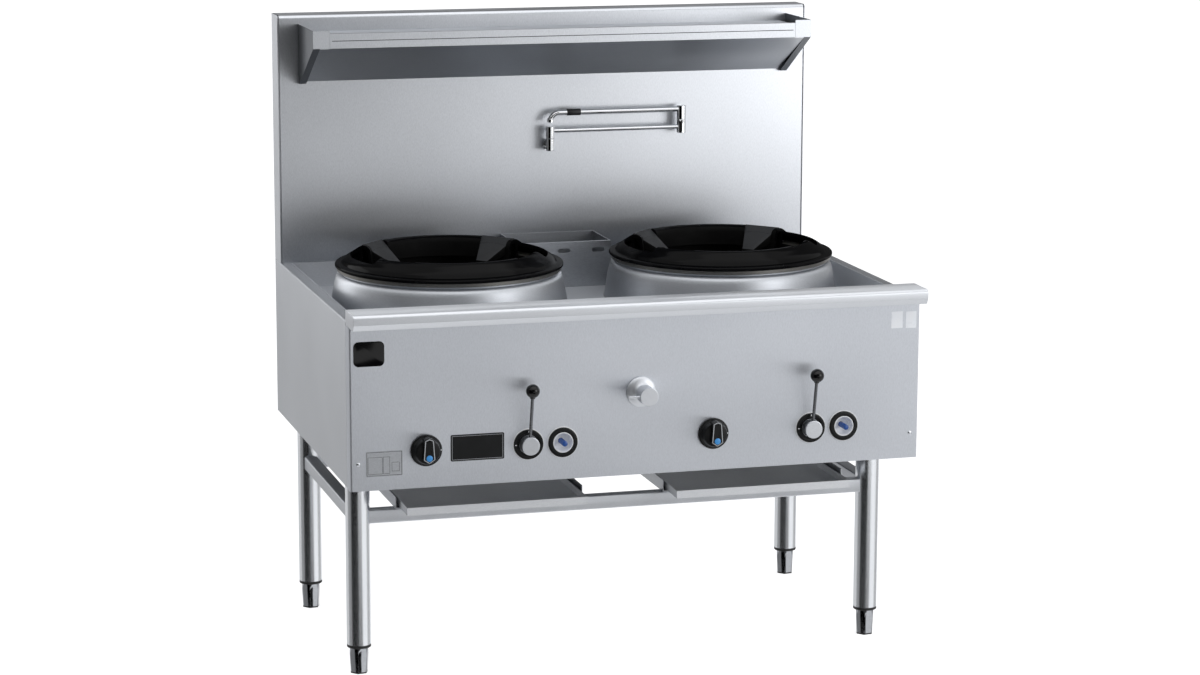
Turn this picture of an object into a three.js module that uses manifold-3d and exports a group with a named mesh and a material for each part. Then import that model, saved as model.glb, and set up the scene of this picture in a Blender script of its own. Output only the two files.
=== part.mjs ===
// Two-hole wok range: a stainless steel table with a sunk hob deck, a tall splashback with a shelf,
// a folding water spout, two chimneys with cast wok rings over jet burners, and drip trays under it.
// Millimetres, +Z up, the front faces -Y. The origin is on the floor under the middle of the whole,
// counted from the water knob at the front to the back panel.
import * as THREE from "three";
import { mergeVertices } from "three/addons/utils/BufferGeometryUtils.js";
import Module from "manifold-3d";

const wasm = await Module();
wasm.setup();

// Overall
const width = 1200;
const depth = 850;
const height = 1301;
const clearance = 0.3; // between pieces that touch
const sheet = 1.5; // body panels

// Body and hob deck
const bodyBottom = 421;
const sideTop = 762;
const sideLedge = 23; // flat top of a side, outside the well
const wellDepth = 55;
const edgeRound = 4; // outer round of the sides' folds
const hemWidth = 20; // turned-in lower edge of the panels
const noseDepth = 79;
const noseHeight = 31.3;
const noseOverhang = 46; // nose in front of the fascia
const noseRise = 21.1; // nose above the sides
const noseRound = 7.5;
const fasciaReturn = 34; // fascia turned round the front corners
const wasteRadius = 22;
const wasteLength = 62;
const wasteSetback = 175; // from the nose

// Splashback and shelf
const splashDepth = 66;
const splashRound = 8;
const jointGroove = 2.5; // open joint beside each end of the splashback
const shelfHalf = 555;
const shelfDepth = 170;
const shelfDrop = 19; // top of the splashback to the top of the shelf
const shelfFace = 37.7; // height of the end blocks
const shelfStep = 6.5; // middle of the shelf's front below the end blocks
const shelfBlock = 36.2;
const shelfRecess = 9.5;
const shelfSlit = 22; // from the shelf's top down to the slit in its front
const bracketDrop = 128.3; // top of the shelf to the foot of its brackets
const bracketFlange = 15;

// Chimneys and wok rings
const hobPitch = 600;
const hobSetback = 458; // from the nose to the middle of the chimneys
const chimneyBase = 252;
const chimneyShoulder = 239;
const chimneyHeight = 92.2; // deck to the seat of the wok ring
const chimneyWall = 2.5;
const bandRadius = 236;
const bandHeight = 9.2;
const grooveHeight = 4;
const linerRadius = 197;
const linerWall = 2;
const linerDrop = 67; // liner below the deck
const deckHole = 203;
const ringRadius = 240.4;
const ringFlange = 7;
const ringLip = 224;
const ringRise = 33.5;
const crestRadius = 188;
const ringBore = 172;
const ringSpigot = 8; // locating rib inside the liner
const ventRadius = 208;
const ventHalfAngle = 28;
const padAngle = 43; // from the X axis
const padHalfAngle = 12.5;
const padInner = 124;
const padTip = 28; // width of a pad at its inner end
const padDrop = 9.5; // tip of a pad below the ring's seat
const padThickness = 8;

// Ladle basin at the back of the deck
const basinWidth = 212;
const basinDepth = 145;
const basinHeight = 99;
const slotLength = 29;
const slotHeight = 10;
const slotPitch = 77;
const slotDrop = 19; // rim to the middle of the overflow slots

// Legs, feet and the rail frame
const legX = 553;
const legSetback = 211; // front legs from the nose
const legInset = 116; // rear legs from the back
const legRadius = 25;
const legWall = 1.5;
const footHeight = 55;
const footCollar = 4; // insert's flange under the tube
const footWidth = 36;
const footTaper = 2.5;
const stemRadius = 8;
const stemLength = 55;
const railSize = 28;
const railTop = 343.2;
const runnerHeight = 24.7;
const runnerLeg = 25;

// Drip trays
const trayCentres = { left: -278.6, right: 291.9 };
const trayWidth = 378;
const traySetback = 124.4; // from the nose
const trayInset = 135.6; // rear ends of the trays from the back
const trayHeight = 16;
const trayPlay = 7.4; // tray side to runner
const trayReturn = 24;

// Controls on the fascia
const controlZ = 497.5;
const knobX = -446.4;
const leverX = -236.2;
const igniterX = -164.4;
const knobRadius = 32;
const knobDepth = 32;
const knobStem = 4;
const bezelRadius = 30.5;
const hubRadius = 18.5;
const hubDepth = 24;
const rodRadius = 3.3;
const ballRadius = 14;
const ballHeight = 116.2; // ball above the pivot
const ballOut = 38;
const cupRadius = 20.8;
const cupDepth = 14;
const buttonRadius = 5.5;
const buttonOut = 20;
const buttonTravel = 8;
const guideLength = 40; // igniter's barrel behind the cup
const waterZ = 592.7;
const roseRadius = 31.6;
const waterKnobRadius = 18.8;
const waterKnobDepth = 60;
const waterPinLength = 23;

// Gas and water lines, and the burners
const manifoldRadius = 13.5;
const manifoldZ = 448;
const manifoldSetback = 49; // behind the fascia's face
const manifoldX = 505;
const manifoldCap = 485; // closed left end, left of the middle
const manifoldBend = 35;
const burnerTop = 606;
const burnerRadius = 80;
const burnerPlate = 16;
const jetRadius = 5;
const jetHeight = 16;
const supplyRadius = 10.6;
const supplyRun = 90; // straight end of a supply pipe in front of its burner
const pilotRadius = 3;
const bearerTop = 580;
const bearerWidth = 60;
const bearerHeight = 20;
const waterPipe = 7.5;
const riserSetback = 43; // behind the splashback's face
const inletZ = 530;
const tapInletBack = 39; // inlet of the tap behind the fascia
const tapInletDrop = 32; // and below its middle
const waterBend = 16;

// Folding spout
const spoutOff = 30; // pivot in front of the splashback
const spoutReach = 302;
const spoutWallZ = 1004;
const wallPivotRadius = 9.5;
const wallPivotBottom = 993;
const wallPivotTop = 1047;
const kneeRadius = 10.2;
const kneeBottom = 1024;
const kneeTop = 1085;
const lowerTubeZ = 1037.5;
const lowerTubeRadius = 4.8;
const upperTubeZ = 1077;
const upperTubeRadius = 6;
const outletZ = 1056;
const spoutBend = 20;
const spigotRadius = 6;

// Facets round large, middle-sized and small turned forms, and along a pipe's bend
const fine = 32;
const medium = 14;
const coarse = 8;
const bendSteps = 3;

// Derived places
const halfWidth = width / 2;
const tapReach = waterKnobDepth - noseOverhang; // knob in front of the nose
const front = (Math.max(tapReach, 0) - depth) / 2;
const back = front + depth;
const backInside = back - sheet - clearance;
const noseTop = sideTop + noseRise;
const noseBottom = noseTop - noseHeight;
const fasciaFront = front + noseOverhang;
const fasciaBack = fasciaFront + sheet;
const fasciaTop = noseBottom - clearance;
const sideFront = fasciaFront + fasciaReturn + clearance;
const wellFront = front + noseDepth;
const wellFloor = sideTop - wellDepth;
const wellHalf = halfWidth - sideLedge;
const splashFront = back - splashDepth;
const splashBottom = sideTop + clearance;
const hobX = hobPitch / 2;
const hobY = front + hobSetback;
const wasteY = front + wasteSetback;
const legFront = front + legSetback;
const legBack = back - legInset;
const trayFront = front + traySetback;
const trayBack = back - trayInset;
const manifoldY = fasciaFront + manifoldSetback;
const riserY = splashFront + riserSetback;
const seatZ = wellFloor + chimneyHeight;
const ringZ = seatZ + clearance;
const basinZ = wellFloor + clearance;
const shelfTop = height - shelfDrop;
const bracketFoot = shelfTop - bracketDrop;
const shelfBack = splashFront - clearance;
const shelfFront = splashFront - shelfDepth;
const spoutY = splashFront - spoutOff;
const runnerZ = railTop + clearance;
const trayZ = runnerZ + sheet + clearance;
const legTop = wellFloor - sheet - clearance;

const rad = THREE.MathUtils.degToRad;

// ---- Shapes -------------------------------------------------------------------------------

function solidOf(geometry) {
  const plain = geometry.index ? geometry.toNonIndexed() : geometry.clone();
  plain.deleteAttribute("normal");
  plain.deleteAttribute("uv");
  const merged = mergeVertices(plain, 1e-4);
  const triVerts = new Uint32Array(merged.index.array);
  const vertProperties = merged.attributes.position.array;
  return new wasm.Manifold(new wasm.Mesh({ numProp: 3, vertProperties, triVerts }));
}

function geometryOf(solid) {
  const { vertProperties, triVerts } = solid.getMesh();
  const geometry = new THREE.BufferGeometry();
  geometry.setAttribute("position", new THREE.BufferAttribute(vertProperties, 3));
  geometry.setIndex(new THREE.BufferAttribute(triVerts, 1));
  geometry.computeVertexNormals();
  return geometry;
}

function join(first, ...others) {
  return geometryOf(others.reduce((sum, g) => sum.add(solidOf(g)), solidOf(first)));
}

function cut(body, ...tools) {
  return geometryOf(tools.reduce((rest, g) => rest.subtract(solidOf(g)), solidOf(body)));
}

function common(a, b) {
  return geometryOf(solidOf(a).intersect(solidOf(b)));
}

function box(x0, x1, y0, y1, z0, z1) {
  const block = new THREE.BoxGeometry(Math.abs(x1 - x0), Math.abs(y1 - y0), Math.abs(z1 - z0));
  return block.translate((x0 + x1) / 2, (y0 + y1) / 2, (z0 + z1) / 2);
}

function shapeOf(outline, hole) {
  const shape = new THREE.Shape(outline.map(([u, v]) => new THREE.Vector2(u, v)));
  if (hole) shape.holes.push(new THREE.Path(hole.map(([u, v]) => new THREE.Vector2(u, v))));
  return shape;
}

// An outline of [y, z] run along X, of [x, z] along Y, or of [x, y] along Z.
function alongX(outline, x0, x1, hole) {
  const bar = new THREE.ExtrudeGeometry(shapeOf(outline, hole), { depth: x1 - x0, bevelEnabled: false });
  const axes = [new THREE.Vector3(0, 1, 0), new THREE.Vector3(0, 0, 1), new THREE.Vector3(1, 0, 0)];
  return bar.applyMatrix4(new THREE.Matrix4().makeBasis(...axes)).translate(x0, 0, 0);
}

function alongY(outline, y0, y1, hole) {
  const bar = new THREE.ExtrudeGeometry(shapeOf(outline, hole), { depth: y1 - y0, bevelEnabled: false });
  return bar.rotateX(Math.PI / 2).translate(0, y1, 0);
}

function alongZ(outline, z0, z1, hole) {
  const bar = new THREE.ExtrudeGeometry(shapeOf(outline, hole), { depth: z1 - z0, bevelEnabled: false });
  return bar.translate(0, 0, z0);
}

// A closed outline of [radius, height] turned about Z.
function turned(outline, segments) {
  const points = outline.map(([r, h]) => new THREE.Vector2(r, h));
  if (THREE.ShapeUtils.area(points) < 0) points.reverse();
  points.push(points[0].clone());
  return new THREE.LatheGeometry(points, segments).rotateX(Math.PI / 2);
}

// The same, with its +Z end turned to face the front.
function turnedOut(outline, segments) {
  return turned(outline, segments).rotateX(Math.PI / 2);
}

function rod(radius, z0, z1, sides) {
  const bar = new THREE.CylinderGeometry(radius, radius, z1 - z0, sides).rotateX(Math.PI / 2);
  return bar.translate(0, 0, (z0 + z1) / 2);
}

// A rod along Y, from y0 to y1.
function rodY(radius, y0, y1, sides) {
  return new THREE.CylinderGeometry(radius, radius, y1 - y0, sides).translate(0, (y0 + y1) / 2, 0);
}

// Radius of a faceted bore in which a pin of the given radius can turn.
function boreFor(radius) {
  return (radius + clearance) / Math.cos(Math.PI / coarse);
}

function arc(u, v, radius, from, to, steps) {
  return Array.from({ length: steps + 1 }, (_, i) => {
    const a = rad(from + ((to - from) * i) / steps);
    return [u + radius * Math.cos(a), v + radius * Math.sin(a)];
  });
}

function rectangle(u0, u1, v0, v1) {
  return [[u0, v0], [u1, v0], [u1, v1], [u0, v1]];
}

// Outline of a folded sheet: the line of one face, and the same line moved to its left by the
// sheet's thickness, or to its right if the thickness is negative.
function folded(line, thickness) {
  const moved = line.map(([u, v], i) => {
    const before = line[i - 1] ?? [2 * u - line[i + 1][0], 2 * v - line[i + 1][1]];
    const after = line[i + 1] ?? [2 * u - before[0], 2 * v - before[1]];
    const d0 = new THREE.Vector2(u - before[0], v - before[1]).normalize();
    const d1 = new THREE.Vector2(after[0] - u, after[1] - v).normalize();
    const k = thickness / (1 + d0.dot(d1));
    return [u - k * (d0.y + d1.y), v + k * (d0.x + d1.x)];
  });
  return [...line, ...moved.reverse()];
}

// Centre line of a bent pipe: straight runs, with an arc of the given radius at each corner.
class BentLine extends THREE.Curve {
  constructor(corners, bend, steps = bendSteps) {
    super();
    const at = corners.map((c) => new THREE.Vector3(...c));
    this.points = at.flatMap((p, i) => {
      if (i === 0 || i === at.length - 1) return [p];
      const into = p.clone().sub(at[i - 1]).normalize();
      const out = at[i + 1].clone().sub(p).normalize();
      const turn = into.angleTo(out);
      const reach = bend * Math.tan(turn / 2);
      const start = p.clone().addScaledVector(into, -reach);
      const axis = into.clone().cross(out).normalize();
      const centre = start.clone().addScaledVector(axis.clone().cross(into), bend);
      return Array.from({ length: steps + 1 }, (_, k) => {
        const spoke = start.clone().sub(centre).applyAxisAngle(axis, (turn * k) / steps);
        return spoke.add(centre);
      });
    });
  }

  getPointAt(u) {
    return this.points[Math.round(u * (this.points.length - 1))].clone();
  }

  getTangentAt(u) {
    const i = Math.round(u * (this.points.length - 1));
    const a = this.points[Math.max(i - 1, 0)];
    const b = this.points[i];
    const c = this.points[Math.min(i + 1, this.points.length - 1)];
    const into = b.clone().sub(a).normalize();
    return into.add(c.clone().sub(b).normalize()).normalize();
  }
}

function pipe(corners, radius, bend, sides = coarse) {
  const line = new BentLine(corners, bend);
  const section = shapeOf(arc(0, 0, radius, 0, 360 - 360 / sides, sides - 1));
  const options = { steps: line.points.length - 1, extrudePath: line, bevelEnabled: false };
  return new THREE.ExtrudeGeometry(section, options);
}

// ---- Materials ----------------------------------------------------------------------------

function finish(color, roughness, metalness) {
  return () => new THREE.MeshStandardMaterial({ color, roughness, metalness });
}

const brushedSteel = finish(0xb4b8bd, 0.38, 1);
const polishedSteel = finish(0xc9ccd0, 0.16, 1);
const chrome = finish(0xd9dcdf, 0.06, 1);
const blackEnamel = finish(0x0b0b0c, 0.15, 0);
const blackPlastic = finish(0x161718, 0.4, 0);
const bluePlastic = finish(0x1d5fa8, 0.35, 0);
const brass = finish(0xb3934f, 0.35, 1);
const castIron = finish(0x35363a, 0.6, 0.6);
const pipeSteel = finish(0x8e9196, 0.45, 1);

const range = new THREE.Group();

function add(group, name, geometry, material, x = 0, y = 0, z = 0) {
  const mesh = new THREE.Mesh(geometry, material());
  mesh.name = name;
  mesh.position.set(x, y, z);
  group.add(mesh);
}

const sides = { left: -1, right: 1 };

// ---- Body panels --------------------------------------------------------------------------

const body = new THREE.Group();
range.add(body);

// Side: hem, outer face, rounded fold and ledge, with a lip turned down beside the well.
for (const [name, side] of Object.entries(sides)) {
  const hemInside = legX + legRadius + clearance;
  const line = [
    [hemInside, bodyBottom],
    [halfWidth, bodyBottom],
    ...arc(halfWidth - edgeRound, sideTop - edgeRound, edgeRound, 0, 90, 3),
    [wellHalf, sideTop],
    [wellHalf, sideTop - 2 * edgeRound],
  ];
  const outline = folded(line, sheet).map(([x, z]) => [side * x, z]);
  add(body, "side_panel_" + name, alongY(outline, sideFront, backInside), brushedSteel);
}

// Fascia: front with returns round both corners, and hems at the bottom and top.
{
  const inside = halfWidth - sheet;
  const line = [
    [-halfWidth, sideFront - clearance],
    ...arc(edgeRound - halfWidth, fasciaFront + edgeRound, edgeRound, 180, 270, 3),
    ...arc(halfWidth - edgeRound, fasciaFront + edgeRound, edgeRound, -90, 0, 3),
    [halfWidth, sideFront - clearance],
  ];
  const skin = alongZ(folded(line, sheet), bodyBottom, fasciaTop);
  const across = inside - edgeRound;
  const hem = box(-across, across, fasciaFront + 1, fasciaFront + hemWidth, bodyBottom, bodyBottom + sheet);
  const topHem = box(-across, across, fasciaFront + 1, wellFront - sheet - 1, fasciaTop - sheet, fasciaTop);
  const holes = [[0, waterZ, 14.5]];
  for (const offset of [0, hobPitch]) {
    holes.push([knobX + offset, controlZ, 10.5]);
    holes.push([leverX + offset, controlZ, 15.5]);
    holes.push([igniterX + offset, controlZ, cupRadius + 2]);
  }
  const drill = (r) => rodY(r, fasciaFront - 5, fasciaBack + 5, medium);
  const drills = holes.map(([x, z, r]) => drill(r).translate(x, 0, z));
  add(body, "front_panel", cut(join(skin, hem, topHem), ...drills), brushedSteel);
}

// Nose rail: the rolled front edge with closed ends, open below behind its return, and the
// well's front wall hanging from its back.
{
  const inside = halfWidth - sheet;
  const section = (inset) => [
    [wellFront - inset, noseBottom + inset],
    [wellFront - inset, noseTop - inset],
    ...arc(front + noseRound, noseTop - noseRound, noseRound - inset, 90, 180, 4),
    [front + inset, noseBottom + inset],
  ];
  const bar = alongX(section(0), -halfWidth, halfWidth);
  const hollow = alongX(section(sheet), -inside, inside);
  const slot = [fasciaFront + hemWidth, wellFront - sheet, noseBottom - 5, noseBottom + 5];
  const wall = box(-wellHalf, wellHalf, wellFront - sheet, wellFront, wellFloor - sheet, noseBottom + 5);
  add(body, "nose_rail", join(cut(bar, hollow, box(-inside, inside, ...slot)), wall), brushedSteel);
}

// Deck pan: the well's floor, side and rear walls, a ledge under the splashback, the chimneys'
// holes and a waste outlet.
{
  const half = wellHalf - clearance;
  const line = [[-half, sideTop], [-half, wellFloor - sheet], [half, wellFloor - sheet], [half, sideTop]];
  const trough = alongY(folded(line, sheet), wellFront + clearance, splashFront + sheet);
  const wall = box(-half, half, splashFront, splashFront + sheet, wellFloor - sheet, sideTop);
  const ledge = box(-half, half, splashFront, backInside - hemWidth / 4, sideTop - sheet, sideTop);
  const waste = rod(wasteRadius + sheet, wellFloor - wasteLength, wellFloor - sheet / 2, medium);
  const drain = rod(wasteRadius, wellFloor - wasteLength - 5, wellFloor + 5, medium).translate(0, wasteY, 0);
  const hobHole = (s) => rod(deckHole, wellFloor - 10, wellFloor + 5, fine).translate(s * hobX, hobY, 0);
  const riserHole = rod(waterPipe + 2, sideTop - 10, sideTop + 5, coarse).translate(0, riserY, 0);
  const pan = join(trough, wall, ledge, waste.translate(0, wasteY, 0));
  add(body, "deck_pan", cut(pan, drain, riserHole, hobHole(-1), hobHole(1)), brushedSteel);
}

// Splashback: skin rolled over at the top, between two end faces set off by an open joint.
{
  const top = [splashFront + splashRound, height - splashRound];
  const round = arc(...top, splashRound, 180, 90, 4);
  const line = [[splashFront, splashBottom], ...round, [backInside, height]];
  const inner = halfWidth - sheet - jointGroove;
  const skin = alongX(folded(line, -sheet), -inner, inner);
  const end = [[splashFront, splashBottom], ...round, [backInside, height], [backInside, splashBottom]];
  const ends = [alongX(end, -halfWidth, sheet - halfWidth), alongX(end, halfWidth - sheet, halfWidth)];
  const strap = [splashFront + sheet, splashFront + 2 * sheet, splashBottom, height - splashRound - sheet];
  const straps = [-1, 1].map((s) => box(s * (inner - 8), s * (halfWidth - sheet / 2), ...strap));
  const hole = rodY(waterPipe, splashFront - 5, splashFront + 8, coarse).translate(0, 0, spoutWallZ);
  add(body, "splashback", cut(join(skin, ...ends, ...straps), hole), brushedSteel);
}

// Back: one sheet from the body's bottom to the top, with the gas and water inlets.
{
  const holes = [[manifoldX, manifoldZ, manifoldRadius + 1], [0, inletZ, waterPipe + 1]];
  const drills = holes.map(([x, z, r]) => rodY(r, back - 8, back + 5, coarse).translate(x, 0, z));
  const plate = box(-halfWidth, halfWidth, back - sheet, back, bodyBottom, height);
  add(body, "rear_panel", cut(plate, ...drills), brushedSteel);
}

// Shelf: a hollow wedge with a recessed top and a slit front, between two folded brackets.
{
  const faceBottom = shelfTop - shelfFace;
  const lip = shelfTop - shelfStep;
  const floor = lip - shelfRecess;
  const line = [
    [shelfBack, bracketFoot + 4],
    [shelfFront, faceBottom],
    [shelfFront, lip],
    [shelfFront + 12, lip],
    [shelfFront + 12, floor],
    [shelfBack, floor],
  ];
  const across = shelfHalf - bracketFlange - clearance;
  const blockInside = shelfHalf - shelfBlock - clearance;
  const wedge = alongX(folded(line, -sheet), -across, across);
  const slitZ = shelfTop - shelfSlit;
  const slitHalf = blockInside - 4;
  const slit = box(-slitHalf, slitHalf, shelfFront - 5, shelfFront + 1, slitZ - 0.8, slitZ + 0.8);
  const corners = [-1, 1].map((s) =>
    box(s * blockInside, s * shelfHalf, shelfFront - 5, shelfFront + 2 * sheet, faceBottom - 5, shelfTop + 5),
  );
  const wall = box(-shelfHalf, shelfHalf, shelfBack, shelfBack + 20, bracketFoot - 20, shelfTop);
  add(body, "shelf", cut(wedge, wall, slit, ...corners), brushedSteel);

  for (const [name, side] of Object.entries(sides)) {
    const slope = [[shelfFront, faceBottom], [shelfBack - 9, bracketFoot], [shelfBack, bracketFoot]];
    const plate = [...slope, [shelfBack, shelfTop], [shelfFront, shelfTop]];
    const outer = side * shelfHalf;
    const end = alongX(plate, Math.min(outer, outer - side * sheet), Math.max(outer, outer - side * sheet));
    const flangeIn = outer - side * bracketFlange;
    const flange = alongX(folded(slope, sheet), Math.min(outer, flangeIn), Math.max(outer, flangeIn));
    const blockIn = outer - side * shelfBlock;
    const block = box(blockIn, outer, shelfFront, shelfFront + sheet, faceBottom, shelfTop);
    add(body, "shelf_bracket_" + name, join(end, flange, block), brushedSteel);
  }
}

// Ladle basin: an open box at the back of the deck, with overflow slots and a turned-in rim.
{
  const half = basinWidth / 2;
  const y1 = splashFront - clearance;
  const y0 = y1 - basinDepth;
  const z1 = basinZ + basinHeight;
  const tank = box(-half, half, y0, y1, basinZ, z1);
  const hollow = box(sheet - half, half - sheet, y0 + sheet, y1 - sheet, basinZ + sheet, z1 + 5);
  const rim = box(-half, half, y0, y0 + 8, z1 - sheet, z1);
  const slotZ = z1 - slotDrop;
  const slots = [-1, 0, 1].map((i) => {
    const reach = (slotLength - slotHeight) / 2;
    const x = i * slotPitch;
    const outline = [
      ...arc(x + reach, slotZ, slotHeight / 2, -90, 90, 4),
      ...arc(x - reach, slotZ, slotHeight / 2, 90, 270, 4),
    ];
    return alongY(outline, y0 - 5, y0 + 3);
  });
  add(body, "ladle_basin", cut(join(cut(tank, hollow), rim), ...slots), brushedSteel);
}

// ---- Chimneys and wok rings ---------------------------------------------------------------

const hob = new THREE.Group();
range.add(hob);

// Chimney: spun outer cone with a rolled shoulder, a groove, the seat band and the flue liner.
{
  const bandBottom = chimneyHeight - bandHeight;
  const shoulder = bandBottom - grooveHeight;
  const seatInner = linerRadius + linerWall;
  const neck = bandRadius - 6;
  const outline = [
    [chimneyBase, clearance],
    [chimneyBase - 7, shoulder * 0.5],
    [chimneyShoulder, shoulder - 9],
    [chimneyShoulder - 2.5, shoulder - 3],
    [chimneyShoulder - 7, shoulder],
    [neck, shoulder],
    [neck, bandBottom],
    [bandRadius, bandBottom],
    [bandRadius, chimneyHeight],
    [linerRadius, chimneyHeight],
    [linerRadius, -linerDrop],
    [seatInner, -linerDrop],
    [seatInner, chimneyHeight - 4],
    [neck - chimneyWall, chimneyHeight - 4],
    [neck - chimneyWall, shoulder - chimneyWall],
    [chimneyShoulder - chimneyWall, shoulder - 10],
    [chimneyBase - chimneyWall, clearance],
  ];
  for (const [name, side] of Object.entries(sides)) {
    add(hob, "chimney_" + name, turned(outline, fine), brushedSteel, side * hobX, hobY, wellFloor);
  }
}

// Wok ring: a hollow cast dome with a flat flange and a locating rib, cut back to a low rim at
// both sides as flue vents, with four sloping pads that reach in to carry the wok.
function wokRing() {
  const rib = linerRadius - 1.5;
  const outline = [
    [ringRadius, 0],
    [ringRadius, ringFlange - 2],
    [ringRadius - 2, ringFlange],
    [ringLip + 3, ringFlange],
    [ringLip, ringFlange + 6],
    [ventRadius, ringRise - 10],
    [crestRadius + 9, ringRise - 3],
    [crestRadius, ringRise],
    [crestRadius - 9, ringRise - 2.5],
    [ringBore, ringRise - 10],
    [ringBore - 3, -padDrop],
    [ringBore + 3, -padDrop],
    [ringBore + 6, ringRise - 11],
    [rib - 5, ringRise - 8],
    [rib - 5, -ringSpigot],
    [rib, -ringSpigot],
    [rib, ringRise - 12],
    [ventRadius - 1, ringRise - 18.5],
    [ringLip - 3, 4],
    [ringLip + 2, 0],
  ];
  const vent = (middle) => {
    const fan = arc(0, 0, ventRadius, middle - ventHalfAngle, middle + ventHalfAngle, 8);
    return alongZ([[0, 0], ...fan], -50, ringRise + 20);
  };
  const padTop = [crestRadius + 2, ringRise - 0.2];
  const wide = padTop[0] * Math.tan(rad(padHalfAngle));
  const plan = [[padInner, -padTip / 2], [padTop[0], -wide], [padTop[0], wide], [padInner, padTip / 2]];
  const pad = [[padInner, -padDrop], [padInner, -padDrop - padThickness], [ringBore + 1, 0], padTop];
  const above = [[padInner - 1, -padDrop], padTop, [padTop[0], ringRise + 20], [padInner - 1, ringRise + 20]];
  const sideways = (profile) => alongY(profile, -2 * wide, 2 * wide);
  const stencil = alongZ(plan, -50, ringRise + 30);
  const padAngles = [padAngle, 180 - padAngle, 180 + padAngle, -padAngle].map(rad);
  const facets = padAngles.map((a) => common(stencil, sideways(above)).rotateZ(a));
  const pads = padAngles.map((a) => common(stencil, sideways(pad)).rotateZ(a));
  return join(cut(turned(outline, fine), vent(0), vent(180), ...facets), ...pads);
}

for (const [name, side] of Object.entries(sides)) {
  add(hob, "wok_ring_" + name, wokRing(), blackEnamel, side * hobX, hobY, ringZ);
}

// ---- Legs, feet, rails, runners and drip trays --------------------------------------------

const stand = new THREE.Group();
range.add(stand);

const corners = {
  front_left: [-legX, legFront],
  front_right: [legX, legFront],
  back_left: [-legX, legBack],
  back_right: [legX, legBack],
};

// Leg: round tube with a pad under the deck and a flanged threaded insert at its lower end.
for (const [name, [x, y]] of Object.entries(corners)) {
  const tubeBottom = footHeight + footCollar;
  const tube = cut(
    rod(legRadius, tubeBottom - 0.5, legTop, medium),
    rod(legRadius - legWall, tubeBottom - 5, legTop - 3, medium),
  );
  const pad = box(-30, 30, -30, 30, legTop - 3, legTop);
  const insert = rod(legRadius - legWall + 0.5, footHeight + 1, tubeBottom + 22, medium);
  const flange = rod(legRadius, footHeight, tubeBottom, medium);
  const bore = rod(stemRadius + clearance, footHeight - 5, tubeBottom + 30, coarse);
  add(stand, "leg_" + name, cut(join(tube, pad, insert, flange), bore), polishedSteel, x, y);
}

// Foot: tapered hexagon under a round collar, on a threaded stem.
for (const [name, [x, y]] of Object.entries(corners)) {
  const across = footWidth / Math.sqrt(3);
  const top = footHeight - clearance;
  const hexagon = new THREE.CylinderGeometry(across + 1, across + 1 - footTaper, top, 6);
  hexagon.rotateX(Math.PI / 2).rotateZ(rad(40)).translate(0, 0, top / 2);
  const collar = footWidth / 2 + 1;
  const round = [[0, 0], [collar - 2, 0], [collar + 1.5, top - 12], [collar, top], [0, top]];
  const nut = common(hexagon, turned(round, medium));
  const stem = rod(stemRadius, top - 1, footHeight + stemLength, coarse);
  add(stand, "foot_" + name, join(nut, stem), chrome, x, y);
}

// Rails: square tubes coped round the legs.
{
  const half = railSize / 2;
  const z0 = railTop - railSize;
  const tubeOutline = (centre) => rectangle(centre - half, centre + half, z0, railTop);
  const tubeHole = (centre) =>
    rectangle(centre - half + sheet, centre + half - sheet, z0 + sheet, railTop - sheet);
  const copes = Object.values(corners).map(([x, y]) =>
    rod(legRadius + clearance, z0 - 5, railTop + 5, medium).translate(x, y, 0),
  );
  for (const [name, y] of [["front", legFront], ["back", legBack]]) {
    const bar = alongX(tubeOutline(y), -legX, legX, tubeHole(y));
    add(stand, "rail_" + name, cut(bar, ...copes), brushedSteel);
  }
  for (const [name, side] of Object.entries(sides)) {
    const x = side * legX;
    const bar = alongY(tubeOutline(x), legFront, legBack, tubeHole(x));
    add(stand, "rail_" + name, cut(bar, ...copes), brushedSteel);
  }
}

// Drip trays: shallow folded pans that slide on angle runners laid across the rails.
for (const [name, x] of Object.entries(trayCentres)) {
  const half = trayWidth / 2;
  const y0 = trayFront;
  const y1 = trayBack;
  const z1 = trayZ + trayHeight;
  const block = box(-half, half, y0, y1, trayZ, z1);
  const hollow = box(sheet - half, half - sheet, y0 + 2 * sheet, y1 - sheet, trayZ + sheet, z1 + 5);
  const tabs = [-1, 1].map((s) => box(s * (half - 1), s * (half + 0.8), y0, y0 + trayReturn, trayZ, z1));
  add(stand, "drip_tray_" + name, join(cut(block, hollow), ...tabs), brushedSteel, x);

  for (const [edge, side] of Object.entries(sides)) {
    const web = side * (half + trayPlay + sheet);
    const inner = web - side * runnerLeg;
    const line = [[inner, runnerZ], [web, runnerZ], [web, runnerZ + runnerHeight]];
    const outline = folded(line, side * sheet);
    const runner = alongY(outline, legFront - railSize / 2, legBack + railSize / 2);
    add(stand, "tray_runner_" + name + "_" + edge, runner, brushedSteel, x);
  }
}

// ---- Controls -----------------------------------------------------------------------------

const controls = new THREE.Group();
range.add(controls);

// Gas knob: skirt, body and a pointer grip, on a stem that turns in the cock.
function knob() {
  const base = 1;
  const skirt = [
    [0, base],
    [knobRadius - 1, base],
    [knobRadius, base + 1.5],
    [knobRadius - 1, base + 4],
    [knobRadius - 5, base + 5],
    [knobRadius - 7, knobDepth * 0.55],
    [knobRadius - 9, knobDepth * 0.6],
    [0, knobDepth * 0.6],
  ];
  const grip = [[0, 30], [-9.5, 26], [-12.5, -14], [0, -22.5], [12.5, -14], [9.5, 26]];
  const lever = alongY(grip, -knobDepth, -base - 3);
  const stem = rodY(knobStem, -base - 3, 30, coarse);
  return join(turnedOut(skirt, medium), lever, stem);
}

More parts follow.
